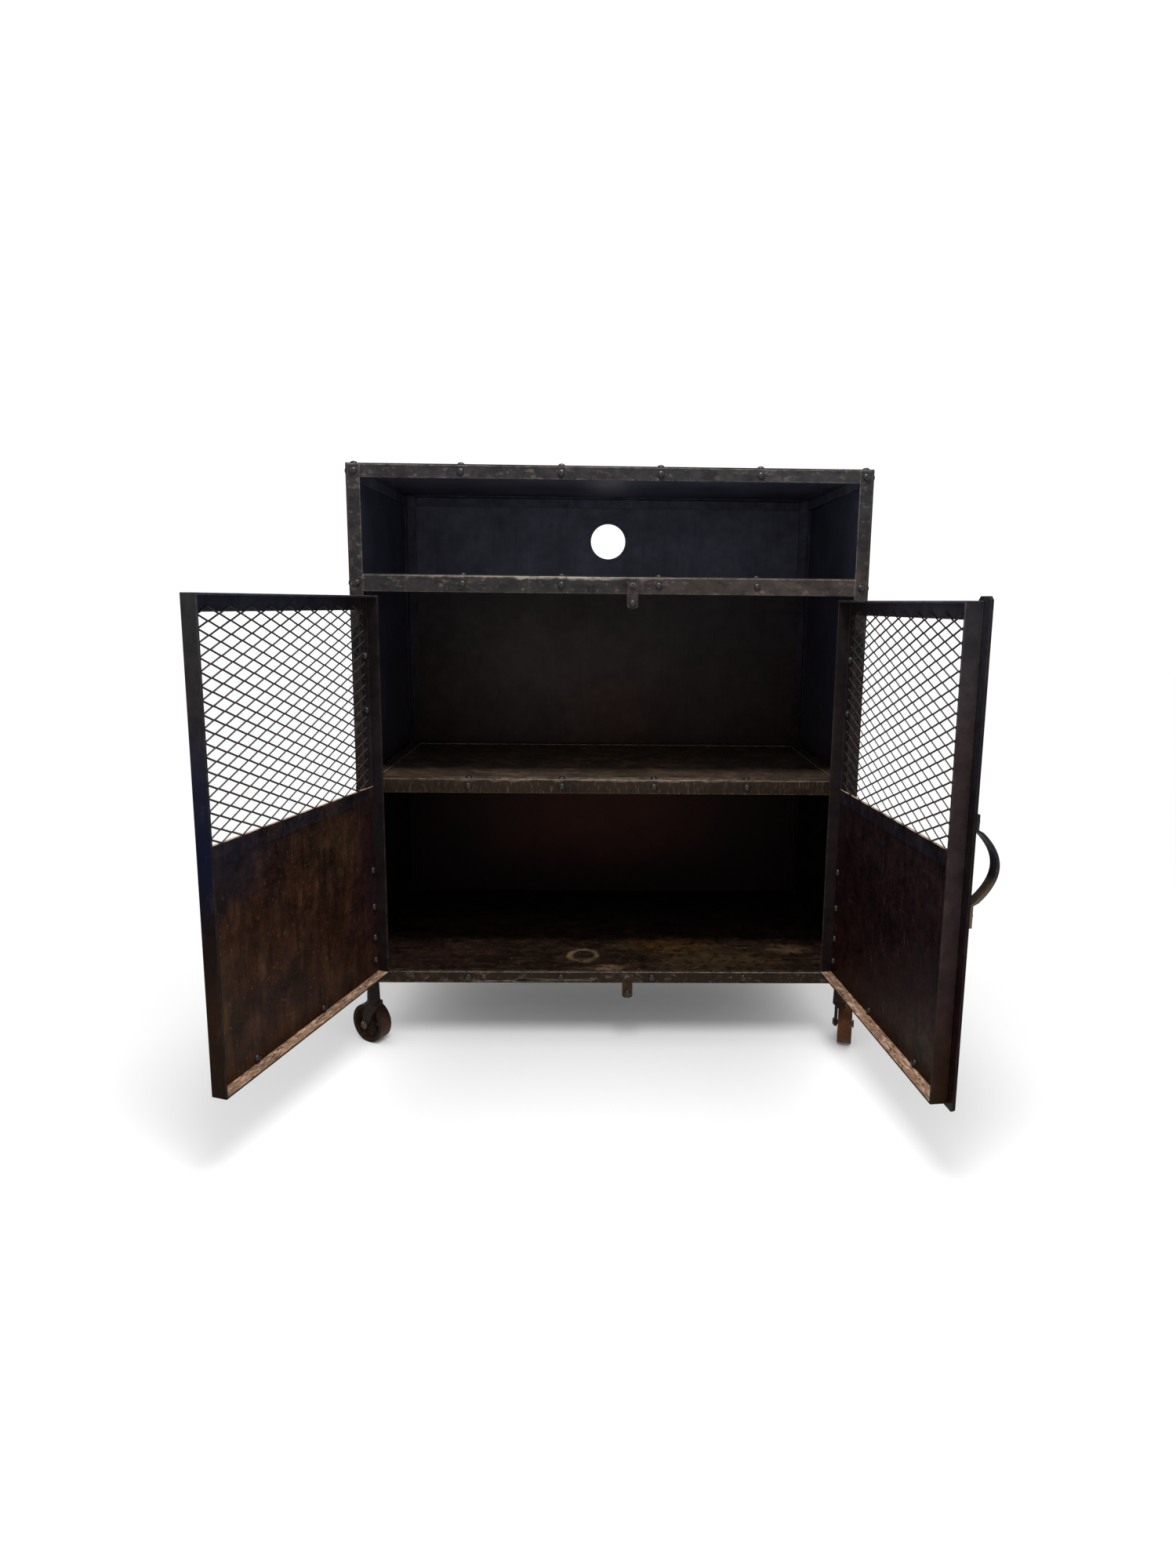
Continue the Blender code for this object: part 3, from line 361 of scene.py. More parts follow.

# sheets of the carcass, outside: an even blue-black skin that turns brown towards the floor;
# inside: blue-black up in the niche and much lighter there as painted light, warmer in the middle bay,
# and reddish low down, where the darkness is painted shade
OUTSIDE_TONES = [(0.13, "#17110e"), (0.50, "#1a1716"), (1.08, "#1c1c1f")]
# inner faces by height: lighter in the niche as painted light, darker low in the bays as painted shade
BACK_TONES_LIGHT_AND_SHADE = [
    (0.13, "#0f0706"), (0.34, "#120807"), (0.49, "#170b0a"), (0.54, "#241d1a"), (0.70, "#292322"),
    (0.86, "#2d292b"), (0.89, "#555666"), (1.08, "#555666")]
SIDE_TONES_LIGHT_AND_SHADE = [
    (0.13, "#0c0708"), (0.49, "#0f090b"), (0.54, "#231f26"), (0.86, "#2a2a36"), (0.89, "#3b3d4a"),
    (1.08, "#3b3d4b")]
INNER_TONES_LIGHT_AND_SHADE = [
    (0.13, "#0f0807"), (0.49, "#130b0b"), (0.54, "#211c1e"), (0.86, "#2a282e"), (0.89, "#4a4b59"),
    (1.08, "#4a4b5a")]
RUN_BLOTS = [
    blots((6, 6, 130), colour="#120e0d", levels=(0.55, 0.75), share=0.25),
    blots(16, colour="#1c1613", levels=(0.62, 0.80), share=0.3)]
# lighter, warmer patches in the middle of the bays' backs, reddish in the lower bay
BAY_PATCHES = [
    stain_or_painted_light(on_cabinet(-0.11, 0.45, 0.71), reach=(0.40, 0.2, 0.24), colour="#3b3331", share=0.8),
    stain_or_painted_light(on_cabinet(0.02, 0.45, 0.60), reach=(0.22, 0.2, 0.11), colour="#38251f", share=0.6),
    stain_or_painted_light(on_cabinet(-0.02, 0.45, 0.37), reach=(0.42, 0.2, 0.22), colour="#33150f", share=0.8)]
carcass_sheets = {}
for node, look, tones, layers in (
        ("back_panel", FRONT, BACK_TONES_LIGHT_AND_SHADE, BAY_PATCHES + RUN_BLOTS),
        ("left_side_panel", RIGHT, SIDE_TONES_LIGHT_AND_SHADE, RUN_BLOTS),
        ("right_side_panel", LEFT, SIDE_TONES_LIGHT_AND_SHADE, RUN_BLOTS),
        ("top_panel", -UP, BACK_TONES_LIGHT_AND_SHADE, ()),
        ("niche_floor", UP, OUTSIDE_TONES, RUN_BLOTS)):
    carcass_sheets[node] = patinated_steel(
        "blued_" + node + "_sheet",
        OUTSIDE_TONES,
        [
            blots((9, 9, 90), colour="#262322", levels=(0.55, 0.75), share=0.5),
            blots(12, colour="#2a1f18", levels=(0.62, 0.78), share=0.5),
            facing(look, tones, layers),
        ],
        clouds=((110, 0.25), (24, 0.15)), grain_depth=0.05, wave_depth=0.4, rough_spread=0.05, specular=0.05,
        bare_share=0.3)

# angle iron inside the carcass and at its back: painted darker than the front frame, and on its inner faces
# given the sheets' painted light and shade, so that it is lost in the shade of the bays
inner_irons = {}
for node, looks in (
        ("back_left_post", (FRONT, RIGHT)),
        ("back_right_post", (FRONT, LEFT)),
        ("top_left_rail", (RIGHT, -UP)),
        ("top_right_rail", (LEFT, -UP)),
        ("top_back_rail", (FRONT, -UP)),
        ("rail", ())):
    inner_irons[node] = patinated_steel(
        "blackened_" + node + "_iron",
        [(0.13, "#140e0b"), (0.50, "#191514"), (0.86, "#1d1c1e"), (1.08, "#1f1f22")],
        [
            blots(8, colour="#2a1f18", levels=(0.58, 0.75), share=0.5),
            *(facing(look, INNER_TONES_LIGHT_AND_SHADE) for look in looks),
        ],
        specular=0.05, bare_share=0.4)

# browned sheet of the shelf: scuffed where things are set down
shelf_sheet = patinated_steel(
    "browned_shelf_sheet",
    [(0.49, "#312822"), (0.56, "#312822")],
    [
        blots(34, colour="#51432f", levels=(0.50, 0.70), share=0.6),
        blots((40, 8, 8), colour="#1c1613", levels=(0.55, 0.70), share=0.5),
        blots(6, colour="#5c4d40", levels=(0.62, 0.75), share=0.4),
    ],
    clouds=((80, 0.3), (18, 0.25)), grain_depth=0.06, wave_depth=0.3, specular=0.05, bare_share=0.4)

# browned sheet of the floor: olive-tan scuffs, a dried ring and pale flakes where bottles stood, and a
# painted shadow over its back
floor_sheet = patinated_steel(
    "browned_floor_sheet",
    [(0.13, "#160e0a"), (0.17, "#160e0a")],
    [
        stain_or_painted_light(on_cabinet(0.12, 0.13, 0.15), reach=(0.14, 0.06, 0.05), colour="#432d11", share=0.8),
        stain_or_painted_light(on_cabinet(0.22, 0.06, 0.15), reach=(0.20, 0.09, 0.05), colour="#342817", share=0.6),
        stain_or_painted_light(
            on_cabinet(0.0, 0.015, 0.15), reach=(0.05, 0.020, 0.05), colour="#5c4a38", share=0.9,
            uneven_mm=14),
        stain_or_painted_light(
            on_cabinet(0.36, 0.105, 0.15), reach=(0.06, 0.03, 0.05), colour="#5a4833", share=0.8,
            uneven_mm=25),
        stain_or_painted_light(
            on_cabinet(-0.045, 0.072, 0.15), reach=(0.027, 0.027, 0.05), colour="#5e4d3b", share=0.8,
            uneven_mm=5, ring=0.35),
        blots((60, 30, 30), colour="#2d2217", levels=(0.48, 0.68), share=0.6),
        blots(20, colour="#0f0907", levels=(0.52, 0.62), share=0.8),
        blots((60, 3, 3), colour="#4a3a29", levels=(0.58, 0.70), share=0.6),
        blots(8, colour="#443525", levels=(0.61, 0.73), share=0.5),
        stain_or_painted_light(on_cabinet(-0.33, 0.07, 0.15), reach=(0.15, 0.12, 0.05), colour="#1e0f11", share=0.6),
        stain_or_painted_light(
            on_cabinet(-0.012, 0.060, 0.15), reach=(0.022, 0.014, 0.05), colour="#0a0605", share=0.9,
            uneven_mm=8),
        # painted shadow over the back of the floor, under the shelf
        stain_or_painted_light(on_cabinet(0.0, 0.42, 0.15), reach=(1.2, 0.30, 0.1), colour="#090a0d", share=1.0),
    ],
    clouds=((70, 0.35), (16, 0.3)), grain_depth=0.06, wave_depth=0.3, specular=0.05, bare_share=0.4)

# waxed blackened iron of the doors: dark legs, and a free edge handled grey, blued and browned down its
# height
DOOR_TONES = {
    "left": [
        (0.13, "#140c0a"), (0.45, "#170f0f"), (0.60, "#191516"), (0.80, "#1c1a1d"), (0.85, "#25252f")],
    "right": [
        (0.13, "#180f0d"), (0.45, "#1a1111"), (0.60, "#1c1819"), (0.80, "#221f22"), (0.85, "#33313a")]}
FREE_EDGE_TONES = {
    "left": [
        (0.13, "#130702"), (0.20, "#160a03"), (0.30, "#1b0d05"), (0.40, "#0d0506"), (0.50, "#050b1e"),
        (0.60, "#121422"), (0.70, "#242123"), (0.85, "#282828")],
    "right": [
        (0.13, "#20140c"), (0.21, "#22150d"), (0.33, "#291d1d"), (0.48, "#272020"), (0.65, "#2f2627"),
        (0.81, "#2a282b"), (0.85, "#2a282b")]}
# upper faces of the doors: the bottom leg rubbed to a tan, speckled skin, the divider's edge pale, and
# the rest dark
LEG_TONES = [
    (0.10, "#7d604d"), (0.20, "#7d604d"), (0.22, "#1d1916"), (0.500, "#1d1916"), (0.505, "#b79a7d"),
    (0.520, "#b79a7d"), (0.525, "#1d1916"), (0.90, "#232326")]
# waxed sheets in the doors: brown, blue-black under the divider, rubbed in upright runs; the right door's
# sheet is painted darker than the left's as painted shade, its red-brown hue its own
DOOR_SHEET_TONES = {
    "left": [
        (0.14, "#27160b"), (0.24, "#231107"), (0.40, "#211008"), (0.475, "#22130e"), (0.486, "#1a0f0c"),
        (0.4875, "#0b0808"), (0.4895, "#141216"), (0.513, "#141216")],
    # darker than the left door's sheet: painted shade
    "right": [
        (0.14, "#190a06"), (0.24, "#150706"), (0.38, "#0e0507"), (0.475, "#170e10"), (0.486, "#130b0c"),
        (0.4875, "#0a0707"), (0.4895, "#151217"), (0.513, "#151217")]}
left_door, right_door = doors["left"], doors["right"]
DOOR_SHEET_MARKS = {
    "left": [
        stain_or_painted_light(on_door(left_door, -0.08, 0.43), reach=(0.12, 0.12, 0.08), colour="#2e2414", share=0.5),
        stain_or_painted_light(
            on_door(left_door, 0.19, 0.28), reach=(0.03, 0.03, 0.16), colour="#46301b", share=0.6,
            uneven_mm=12),
        stain_or_painted_light(on_door(left_door, -0.07, 0.36), reach=(0.05, 0.05, 0.13), colour="#0f0706", share=0.6),
        blots((26, 26, 120), colour="#36241a", levels=(0.48, 0.70), share=0.7),
        blots((60, 60, 90), colour="#100908", levels=(0.52, 0.68), share=0.7),
        blots((5, 5, 90), colour="#0b0605", levels=(0.54, 0.68), share=0.7),
        blots(5, colour="#5a4331", levels=(0.60, 0.74), share=0.5),
        stain_or_painted_light(on_door(left_door, 0.16, 0.48), reach=(0.14, 0.14, 0.09), colour="#141118", share=0.9),
        # painted shade near the hinge
        stain_or_painted_light(on_door(left_door, -0.20, 0.36), reach=(0.09, 0.09, 0.26), colour="#170c10", share=0.9)],
    "right": [
        stain_or_painted_light(on_door(right_door, 0.14, 0.18), reach=(0.16, 0.16, 0.10), colour="#22170a", share=0.6),
        blots((24, 24, 50), colour="#24110f", levels=(0.52, 0.75), share=0.6),
        blots((5, 5, 90), colour="#0c0606", levels=(0.54, 0.70), share=0.6),
        blots((1.5, 1.5, 45), colour="#6b5650", levels=(0.67, 0.75), share=0.6),
        blots((1.5, 24, 24), colour="#5a4640", levels=(0.70, 0.77), share=0.5),
        blots(5, colour="#4a332c", levels=(0.66, 0.77), share=0.4)]}
door_irons, door_sheets = {}, {}
for side, door in doors.items():
    lengthways = math.atan2(door["along"].y, door["along"].x)
    rubbed_leg = facing(UP, LEG_TONES, [
        blots((16, 5, 5), colour="#b89c85", levels=(0.50, 0.64), share=0.9, turn=lengthways),
        blots((10, 4, 4), colour="#3a2419", levels=(0.53, 0.64), share=0.9, turn=lengthways),
        blots(14, colour="#463c29", levels=(0.53, 0.68), share=0.6),
        blots(4, colour="#b09c88", levels=(0.60, 0.72), share=0.7),
        higher_than(ABOVE_DIVIDER, "#222226"),
        blots(6, colour="#332a24", levels=(0.60, 0.76), share=0.5)])
    handled_edge = facing(door["along"], FREE_EDGE_TONES[side], [
        blots((12, 12, 40), colour="#322b28", levels=(0.58, 0.78), share=0.4)])
    door_irons[side] = patinated_steel(
        "waxed_" + side + "_door_iron",
        DOOR_TONES[side],
        [
            handled_edge,
            # darker towards the hinge: painted shade where the door meets the cabinet
            stain_or_painted_light(
                on_door(door, -DOOR_MIDDLE, 1.0), reach=(0.22, 0.22, 3.0), colour="#191415", share=1.0,
                uneven_mm=0),
            blots(6, colour="#2a1d15", levels=(0.60, 0.76), share=0.5),
            rubbed_leg,
        ],
        specular=0.025, bare="#7d766e", bare_share=0.6)
    door_sheets[side] = patinated_steel(
        "waxed_" + side + "_door_sheet",
        DOOR_SHEET_TONES[side],
        DOOR_SHEET_MARKS[side] + [facing(UP, LEG_TONES)],
        clouds=((45, 0.5), (11, 0.25)), grain_depth=0.06, wave_depth=0.3, specular=0.06, bare_share=0.2)

# closing strip and hinge leaves: thin, dark and a little red
strip_iron = patinated_steel(
    "waxed_strip_iron",
    [(0.13, "#110405"), (0.33, "#120709"), (0.48, "#130c0e"), (0.65, "#151417"), (0.85, "#1a191d")],
    [blots(8, colour="#2a1d17", levels=(0.58, 0.75), share=0.5)],
    edge_mm=0.8, specular=0.05, bare_share=0.5)

# the pull: blue-black where it is clean, rubbed olive-tan at its lower end
pull_iron = patinated_steel(
    "rubbed_pull_iron",
    [(0.42, "#4f463a"), (0.478, "#473d31"), (0.492, "#212023"), (0.58, "#1c1d21")],
    [blots(5, colour="#5e5344", levels=(0.60, 0.75), share=0.4)],
    clouds=((20, 0.3), (6, 0.2)), edge_mm=0.8, specular=0.06, bare_share=0.6)

# turn buttons: flat bar, handled brown
button_iron = patinated_steel(
    "handled_button_iron",
    [(0.10, "#2a1c12"), (0.20, "#2a1c12"), (0.80, "#2a2524"), (0.90, "#2a2524")],
    [blots(4, colour="#463020", levels=(0.55, 0.72), share=0.6)],
    clouds=((12, 0.3), (4, 0.2)), edge_mm=0.8, bare="#8f857a", bare_share=0.9)

# expanded metal: thin sheared strands, dull dark skin with burnished shoulders
net_sheet = patinated_steel(
    "sheared_expanded_sheet",
    [(0.50, "#211a17"), (0.62, "#251f1c"), (0.85, "#252221")],
    [blots(6, colour="#3d3027", levels=(0.56, 0.74), share=0.5)],
    clouds=((30, 0.3), (9, 0.2)), edge_mm=0.3, specular=0.15, bare_share=0.3, grain_mm=1.0)

# sand-cast iron of the stems and horns: grainy, dark and oiled
DULL_BLOTS = [blots(7, colour="#38210f", levels=(0.56, 0.74), share=0.5)]
CAST_CLOUDS = ((18, 0.35), (5, 0.25))
cast_iron = patinated_steel(
    "oiled_cast_iron",
    [(0.0, "#1c110c"), (0.07, "#1a110d"), (0.14, "#15100f")],
    DULL_BLOTS,
    clouds=CAST_CLOUDS, edge_mm=1.0, grain_mm=1.8, grain_depth=0.35, bare="#6b4a32", bare_share=0.5)

# the wheels: the same iron with dark faces, and treads rolled to a brown rust
RUST_BLOTS = [
    blots(7, colour="#4d2c18", levels=(0.54, 0.72), share=0.6),
    blots(3, colour="#6b4428", levels=(0.62, 0.75), share=0.5)]
WHEEL_FACE_TONES = [(0.0, "#150c08"), (0.08, "#140c08")]
TREAD_COLOURS = {
    "front_left": "#2f1f17", "front_right": "#432617", "rear_left": "#382317", "rear_right": "#382317"}
wheel_irons = {}
for corner, tread in TREAD_COLOURS.items():
    axle = Vector(joints[corner + "_wheel_spin"]["axis"])
    wheel_irons[corner] = patinated_steel(
        "rusted_" + corner + "_wheel_iron",
        [(0.0, tread), (0.08, tread)],
        RUST_BLOTS + [facing(look, WHEEL_FACE_TONES, DULL_BLOTS, WHEEL_FACE_NEAR) for look in (axle, -axle)],
        clouds=CAST_CLOUDS, edge_mm=1.0, grain_mm=1.8, grain_depth=0.35, bare="#6b4a32", bare_share=0.4)

# headed rivets: hammered round and waxed, glossier than the bars
rivet_iron = patinated_steel(
    "hammered_rivet_iron",
    [(0.13, "#150e0a"), (0.55, "#171312"), (0.85, "#191818"), (1.08, "#181718")],
    [blots(4, colour="#3a281c", levels=(0.56, 0.74), share=0.5)],
    clouds=((9, 0.3), (3, 0.2)), rough=0.36, rough_spread=0.08, specular=0.3, grain_mm=1.2, grain_depth=0.08,
    bare_share=0.0)

# turned steel of pins and axle bolts: bare metal gone dull
turned_steel = patinated_steel(
    "turned_bolt_steel",
    [(0.0, "#4a4038"), (0.90, "#6b665f")],
    [blots(3, colour="#4a3020", levels=(0.56, 0.72), share=0.7)],
    clouds=((6, 0.25), (3, 0.15)), rough=0.38, metallic=1.0, specular=0.5, grain_mm=0.8, bare_share=0.2)


def clean_edges():
    """A modifier group that joins the triangles' shared corners and shades bends smooth."""
    group = bpy.data.node_groups.new("clean_edges", "GeometryNodeTree")
    for end in ("INPUT", "OUTPUT"):
        group.interface.new_socket("Geometry", in_out=end, socket_type="NodeSocketGeometry")
    shape = add(group, "NodeGroupInput")
    shape = add(group, "GeometryNodeRemoveAttribute", inputs={"Geometry": shape, "Name": "custom_normal"})
    shape = add(group, "GeometryNodeMergeByDistance", inputs={"Geometry": shape, "Distance": WELD_NEAR})
    shape = add(group, "GeometryNodeSetShadeSmooth", {"domain": "FACE"}, {
        "Geometry": shape, "Shade Smooth": True})
    angle = add(group, "GeometryNodeInputMeshEdgeAngle", out="Unsigned Angle")
    gentle = add(group, "FunctionNodeCompare", {"operation": "LESS_THAN"}, {"A": angle, "B": BEND_ANGLE})
    shape = add(group, "GeometryNodeSetShadeSmooth", {"domain": "EDGE"}, {
        "Geometry": shape, "Shade Smooth": gentle})
    add(group, "NodeGroupOutput", inputs={"Geometry": shape})
    return group


edge_group = clean_edges()


def finish_node(name, material, edge=0.0):
    """Give a node its finish, smooth bends and, on bars, a narrow rounded edge."""
    obj = nodes[name]
    if not obj.material_slots:
        obj.data.materials.append(material)
    for held in obj.material_slots:
        held.material = material
    obj.modifiers.new("clean_edges", "NODES").node_group = edge_group
    if edge:
        rub = obj.modifiers.new("rubbed_edge", "BEVEL")
        rub.width = edge
        rub.segments = EDGE_STEPS
        rub.limit_method = "ANGLE"
        rub.angle_limit = BEND_ANGLE


# how a node's name ends, its finish and its rounded edge; the first that fits is taken
FINISHES = [(node, sheet, 0.0) for node, sheet in carcass_sheets.items()]
FINISHES += [(side + "_door_panel", sheet, 0.0) for side, sheet in door_sheets.items()]
FINISHES += [(side + "_door_frame", iron, BAR_EDGE) for side, iron in door_irons.items()]
FINISHES += [(corner + "_caster_wheel", iron, 0.0) for corner, iron in wheel_irons.items()]
FINISHES += [
    ("shelf_panel", shelf_sheet, 0.0),
    ("floor_panel", floor_sheet, 0.0),
    ("shelf_frame", shelf_iron, BAR_EDGE),
    ("_leaf", strip_iron, SMALL_EDGE),
    ("closing_strip", strip_iron, SMALL_EDGE),
    ("pull_handle", pull_iron, SMALL_EDGE),
    ("_latch", button_iron, SMALL_EDGE),
    ("_stem", cast_iron, 0.0),
    ("_horn", cast_iron, 0.0),
    ("_pin", turned_steel, 0.0),
    ("_axle", turned_steel, 0.0),
    ("front_left_post", angle_iron, BAR_EDGE),
    ("front_right_post", angle_iron, BAR_EDGE),
    ("front_rail", angle_iron, BAR_EDGE)]
FINISHES += [(node, iron, BAR_EDGE) for node, iron in inner_irons.items()]
for name in nodes:
    for ending, material, edge in FINISHES:
        if name.endswith(ending):
            finish_node(name, material, edge)
            break


def new_piece(name, bm, material, body):
    """Turn a bmesh into a piece that rides on a body."""
    mesh = bpy.data.meshes.new(name)
    bm.normal_update()
    bm.to_mesh(mesh)
    bm.free()
    mesh.materials.append(material)
    obj = bpy.data.objects.new(name, mesh)
    scene.collection.objects.link(obj)
    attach(obj, body)
    return obj


def run_inside(start, end, low, high):
    """The part of a straight run between two corners of the sheet, as two shares of its length, or None."""
    first, last = 0.0, 1.0
    for a, b, lo, hi in zip(start, end, low, high):
        if abs(b - a) < SAME_SPOT:
            if not lo <= a <= hi:
                return None
        else:
            near, far = sorted(((lo - a) / (b - a), (hi - a) / (b - a)))
            first, last = max(first, near), min(last, far)
    return (first, last) if first < last else None


def expanded_net(side):
    """The door's expanded metal: tilted strands that meet in short bonds, cut off straight at the edges."""
    node, along, inward = side + "_door_mesh", doors[side]["along"], doors[side]["inward"]
    points = [v.co for v in nodes[node].data.vertices]
    depths = [p.dot(inward) for p in points]
    low = Vector((min(p.dot(along) for p in points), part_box(node)[0].z))
    high = Vector((max(p.dot(along) for p in points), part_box(node)[1].z))
    base = inward * ((min(depths) + max(depths)) / 2)
    half_l, half_s = NET_LONG / 2, NET_SHORT / 2
    bm = bmesh.new()

    def section(spot, across):
        centre = base + along * spot.x + UP * spot.y
        flat = across * math.cos(STRAND_TILT) + inward * math.sin(STRAND_TILT)
        thick = inward * math.cos(STRAND_TILT) - across * math.sin(STRAND_TILT)
        return [bm.verts.new(centre + flat * (a * STRAND_W / 2) + thick * (b * STRAND_T / 2))
                for a, b in ((1, 1), (-1, 1), (-1, -1), (1, -1))]

    def strand(start, rise):
        slope = Vector((half_l - 2 * BOND, rise * half_s)).normalized()
        across = (UP * slope.x - along * slope.y + UP).normalized()
        path = [
            (start, UP),
            (start + Vector((BOND, 0)), across),
            (start + Vector((half_l - BOND, rise * half_s)), across),
            (start + Vector((half_l, rise * half_s)), UP)]
        made = []
        for (a, a_across), (b, b_across) in zip(path, path[1:]):
            kept = run_inside(a, b, low, high)
            for share, turned in zip(kept or (), (a_across, b_across)):
                spot = a.lerp(b, share)
                if not made or (made[-1][0] - spot).length > SAME_SPOT:
                    made.append((spot, turned))
        rings = [section(*ring) for ring in made]
        for one, two in zip(rings, rings[1:]):
            for k in range(len(one)):
                after = (k + 1) % len(one)
                bm.faces.new((one[k], one[after], two[after], two[k]))
        if len(rings) > 1:
            bm.faces.new(rings[0][::-1])
            bm.faces.new(rings[-1])

    for i in range(int((high.x - low.x) / half_l) + 2):
        for j in range(-1, int((high.y - low.y) / half_s) + 2):
            if (i + j) % 2 == 0:
                for rise in (1, -1):
                    strand(low + Vector(((i - 0.5) * half_l, j * half_s)), rise)
    bmesh.ops.recalc_face_normals(bm, faces=bm.faces)
    net = new_piece(side + "_door_expanded_net", bm, net_sheet, side + "_door")
    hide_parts(node)


for side in doors:
    expanded_net(side)


def furthest(node, way):
    """How far a node reaches along a direction."""
    return max(v.co.dot(way) for v in nodes[node].data.vertices)


def head_spots(node, way, level):
    """Where a node's rivet heads sit: the crowns at one level along a direction, gathered head by head."""
    groups = []
    for v in nodes[node].data.vertices:
        if abs(v.co.dot(way) - level) < LEVEL_SLACK:
            near = next((g for g in groups if (g[0] - v.co).length < SAME_HEAD), None)
            if near:
                near.append(v.co)
            else:
                groups.append([v.co])
    spots = []
    for group in groups:
        low = Vector([min(p[k] for p in group) for k in range(3)])
        high = Vector([max(p[k] for p in group) for k in range(3)])
        spots.append((low + high) / 2 - way * CAD_HEAD_H)
    return spots


def rivet_head(bm, spot, way):
    """One hammered dome, sunk a hair into what it holds."""
    put = Matrix.Translation(spot) @ way.to_track_quat("Z", "Y").to_matrix().to_4x4()
    turns = [2 * math.pi * k / HEAD_SIDES for k in range(HEAD_SIDES)]
    rings = []
    for i in range(HEAD_RINGS):
        rise = math.pi / 2 * i / HEAD_RINGS
        r = HEAD_R * math.cos(rise)
        h = HEAD_H * math.sin(rise) if i else -HEAD_SINK
        rings.append([bm.verts.new(put @ Vector((r * math.cos(t), r * math.sin(t), h))) for t in turns])
    crown = bm.verts.new(put @ Vector((0, 0, HEAD_H)))
    for k in range(HEAD_SIDES):
        after = (k + 1) % HEAD_SIDES
        for low, up in zip(rings, rings[1:]):
            bm.faces.new((low[k], low[after], up[after], up[k])).smooth = True
        bm.faces.new((rings[-1][k], rings[-1][after], crown)).smooth = True


def rivets(name, rows, body):
    """All the heads on one body as one piece; each row is a list of spots and the way they face."""
    bm = bmesh.new()
    for spots, way in rows:
        for spot in spots:
            rivet_head(bm, spot, way)
    return new_piece(name, bm, rivet_iron, body)


carcass_rows = []
for node in ("front_left_post", "front_right_post", "top_front_rail", "mid_front_rail", "bottom_front_rail"):
    carcass_rows.append((head_spots(node, FRONT, CAD_HEAD_H - CABINET.y), FRONT))
for node, way in (
        ("shelf_frame", FRONT),
        ("shelf_frame", UP),
        ("niche_floor", UP),
        ("left_side_panel", LEFT),
        ("right_side_panel", RIGHT),
        ("back_panel", BACK)):
    carcass_rows.append((head_spots(node, way, furthest(node, way)), way))
top_spots = [Vector((CABINET.x + x, y, top_high.z)) for x in TOP_RIVETS_X
             for y in (top_low.y + TOP_RIVET_IN, top_high.y - TOP_RIVET_IN)]
top_spots += [Vector((x, top_low.y + y, top_high.z)) for y in TOP_RIVETS_Y
              for x in (top_low.x + TOP_RIVET_IN, top_high.x - TOP_RIVET_IN)]
carcass_rows.append((top_spots, UP))
rivets("carcass_rivets", carcass_rows, "base")
for side, door in doors.items():
    panel, inward = side + "_door_panel", door["inward"]
    leg_heads = door["foot"].dot(inward) + DOOR_LEG_DEPTH + CAD_HEAD_H
    door_rows = [
        (head_spots(panel, inward, furthest(panel, inward)), inward),
        (head_spots(side + "_door_frame", inward, leg_heads), inward)]
    if side == "right":
        pull_heads = furthest("closing_strip", -inward) + PULL_CLEAR + PULL_BAR + CAD_HEAD_H
        door_rows.append((head_spots("pull_handle", -inward, pull_heads), -inward))
    rivets(side + "_door_rivets", door_rows, side + "_door")
for name in ("top_latch", "bottom_latch"):
    rivets(name + "_rivet", [(head_spots(name, FRONT, furthest(name, FRONT)), FRONT)], name)

# the pale floor
FLOOR_HALF = 9.0
FLOOR_CELLS = 12
FIBRE_MM = 300
bm = bmesh.new()
bmesh.ops.create_grid(bm, x_segments=FLOOR_CELLS, y_segments=FLOOR_CELLS, size=FLOOR_HALF)
floor_mesh = bpy.data.meshes.new("studio_floor")
bm.to_mesh(floor_mesh)
bm.free()
floor = bpy.data.objects.new("studio_floor", floor_mesh)
scene.collection.objects.link(floor)
# matt white studio paper: very slightly uneven
paper = bpy.data.materials.new("matt_studio_paper")
paper.use_nodes = True
tree = paper.node_tree
tree.nodes.clear()
fibres = pattern(tree, add(tree, "ShaderNodeTexCoord", out="Object"), FIBRE_MM, detail=2.0)
pale = add(tree, "ShaderNodeMix", {"data_type": "RGBA"}, {
    "Factor": fibres, "A": linear("#f6f6f6"), "B": linear("#f8f8f8")})
matt = add(tree, "ShaderNodeBsdfPrincipled", inputs={
    "Base Color": pale, "Roughness": 0.9, "Specular IOR Level": 0.0})
add(tree, "ShaderNodeOutputMaterial", inputs={"Surface": matt})
floor_mesh.materials.append(paper)

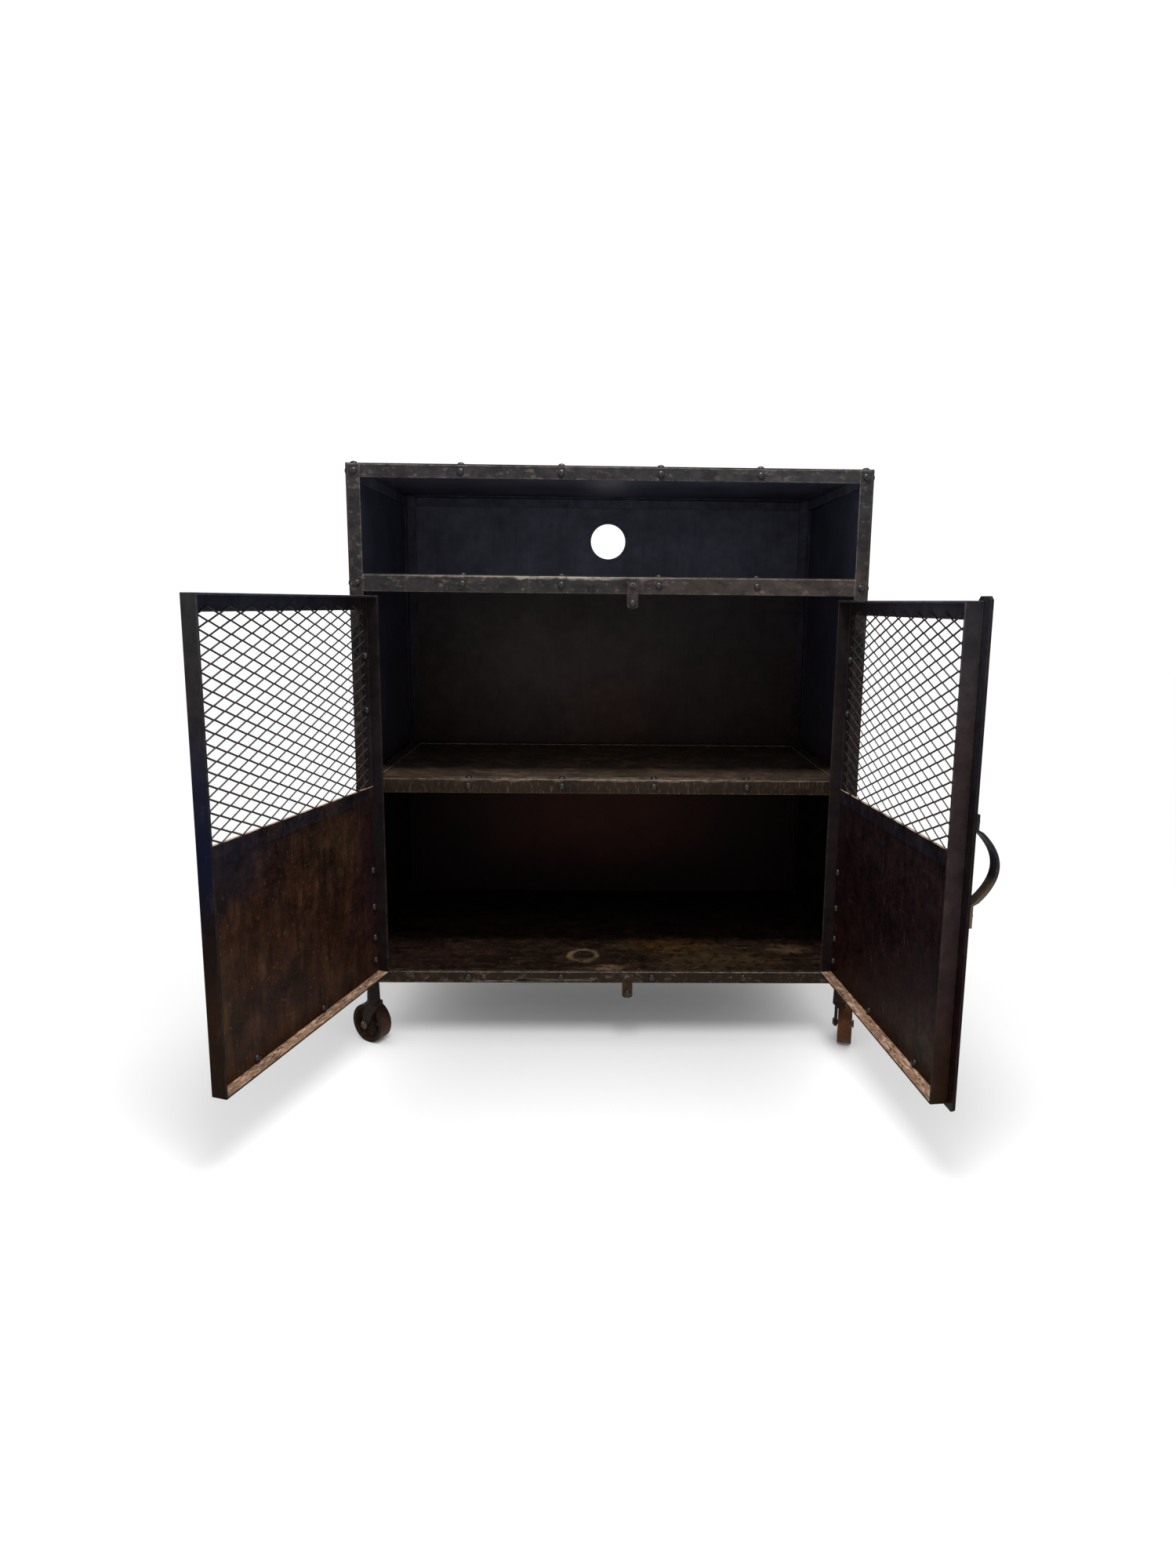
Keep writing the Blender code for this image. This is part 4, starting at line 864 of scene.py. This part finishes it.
# soft studio light: a white room, a lamp overhead that lights the cabinet alone, and a broader one further
# to the front that lights the floor alone, so that the doors shade it softly outwards
ROOM_LIGHT = 1.08
CABINET_LAMP_AT = CABINET + Vector((0.03, -0.556, 2.25))
CABINET_LAMP_SIDE, CABINET_LAMP_WATTS = 0.22, 39.0
FLOOR_LAMP_AT = CABINET + Vector((0.03, -0.95, 1.6))
FLOOR_LAMP_SIDE, FLOOR_LAMP_WATTS = 0.6, 19.0
world = bpy.data.worlds.new("white_room")
scene.world = world
world.use_nodes = True
world.node_tree.nodes.clear()
walls = add(world.node_tree, "ShaderNodeBackground", inputs={
    "Color": linear("#ffffff"), "Strength": ROOM_LIGHT})
add(world.node_tree, "ShaderNodeOutputWorld", inputs={"Surface": walls})
for name, spot, size, watts, floor_lit in (
        ("cabinet_lamp", CABINET_LAMP_AT, CABINET_LAMP_SIDE, CABINET_LAMP_WATTS, "EXCLUDE"),
        ("floor_lamp", FLOOR_LAMP_AT, FLOOR_LAMP_SIDE, FLOOR_LAMP_WATTS, "INCLUDE")):
    lamp_data = bpy.data.lights.new(name, "AREA")
    lamp_data.shape = "SQUARE"
    lamp_data.size = size
    lamp_data.energy = watts
    lamp = bpy.data.objects.new(name, lamp_data)
    lamp.location = spot
    lamp.visible_camera = False
    scene.collection.objects.link(lamp)
    lit = bpy.data.collections.new(name + "_floor")
    lit.objects.link(floor)
    lit.collection_objects[0].light_linking.link_state = floor_lit
    lamp.light_linking.receiver_collection = lit
# colours are shown as they are, with no film curve
scene.view_settings.view_transform = "Standard"

# camera
yaw, pitch, roll = (math.radians(a) for a in (CAMERA_YAW, CAMERA_PITCH, CAMERA_ROLL))
ahead = Vector((math.sin(yaw) * math.cos(pitch), math.cos(yaw) * math.cos(pitch), math.sin(pitch)))
level = Vector((math.cos(yaw), -math.sin(yaw), 0.0))
upright = level.cross(ahead)
camera_right = level * math.cos(roll) + upright * math.sin(roll)
camera_up = upright * math.cos(roll) - level * math.sin(roll)
camera_turn = Matrix((camera_right, camera_up, -ahead)).transposed().to_4x4()
camera_data = bpy.data.cameras.new("photo_camera")
camera_data.sensor_width = SENSOR_MM
camera_data.lens = FOCAL_PX * SENSOR_MM / PHOTO_H
camera_data.shift_x = (PHOTO_W / 2 - AXIS_PX[0]) / PHOTO_H
camera_data.shift_y = (AXIS_PX[1] - PHOTO_H / 2) / PHOTO_H
camera = bpy.data.objects.new("photo_camera", camera_data)
camera.matrix_world = Matrix.Translation(CAMERA_AT) @ camera_turn
scene.collection.objects.link(camera)
scene.camera = camera
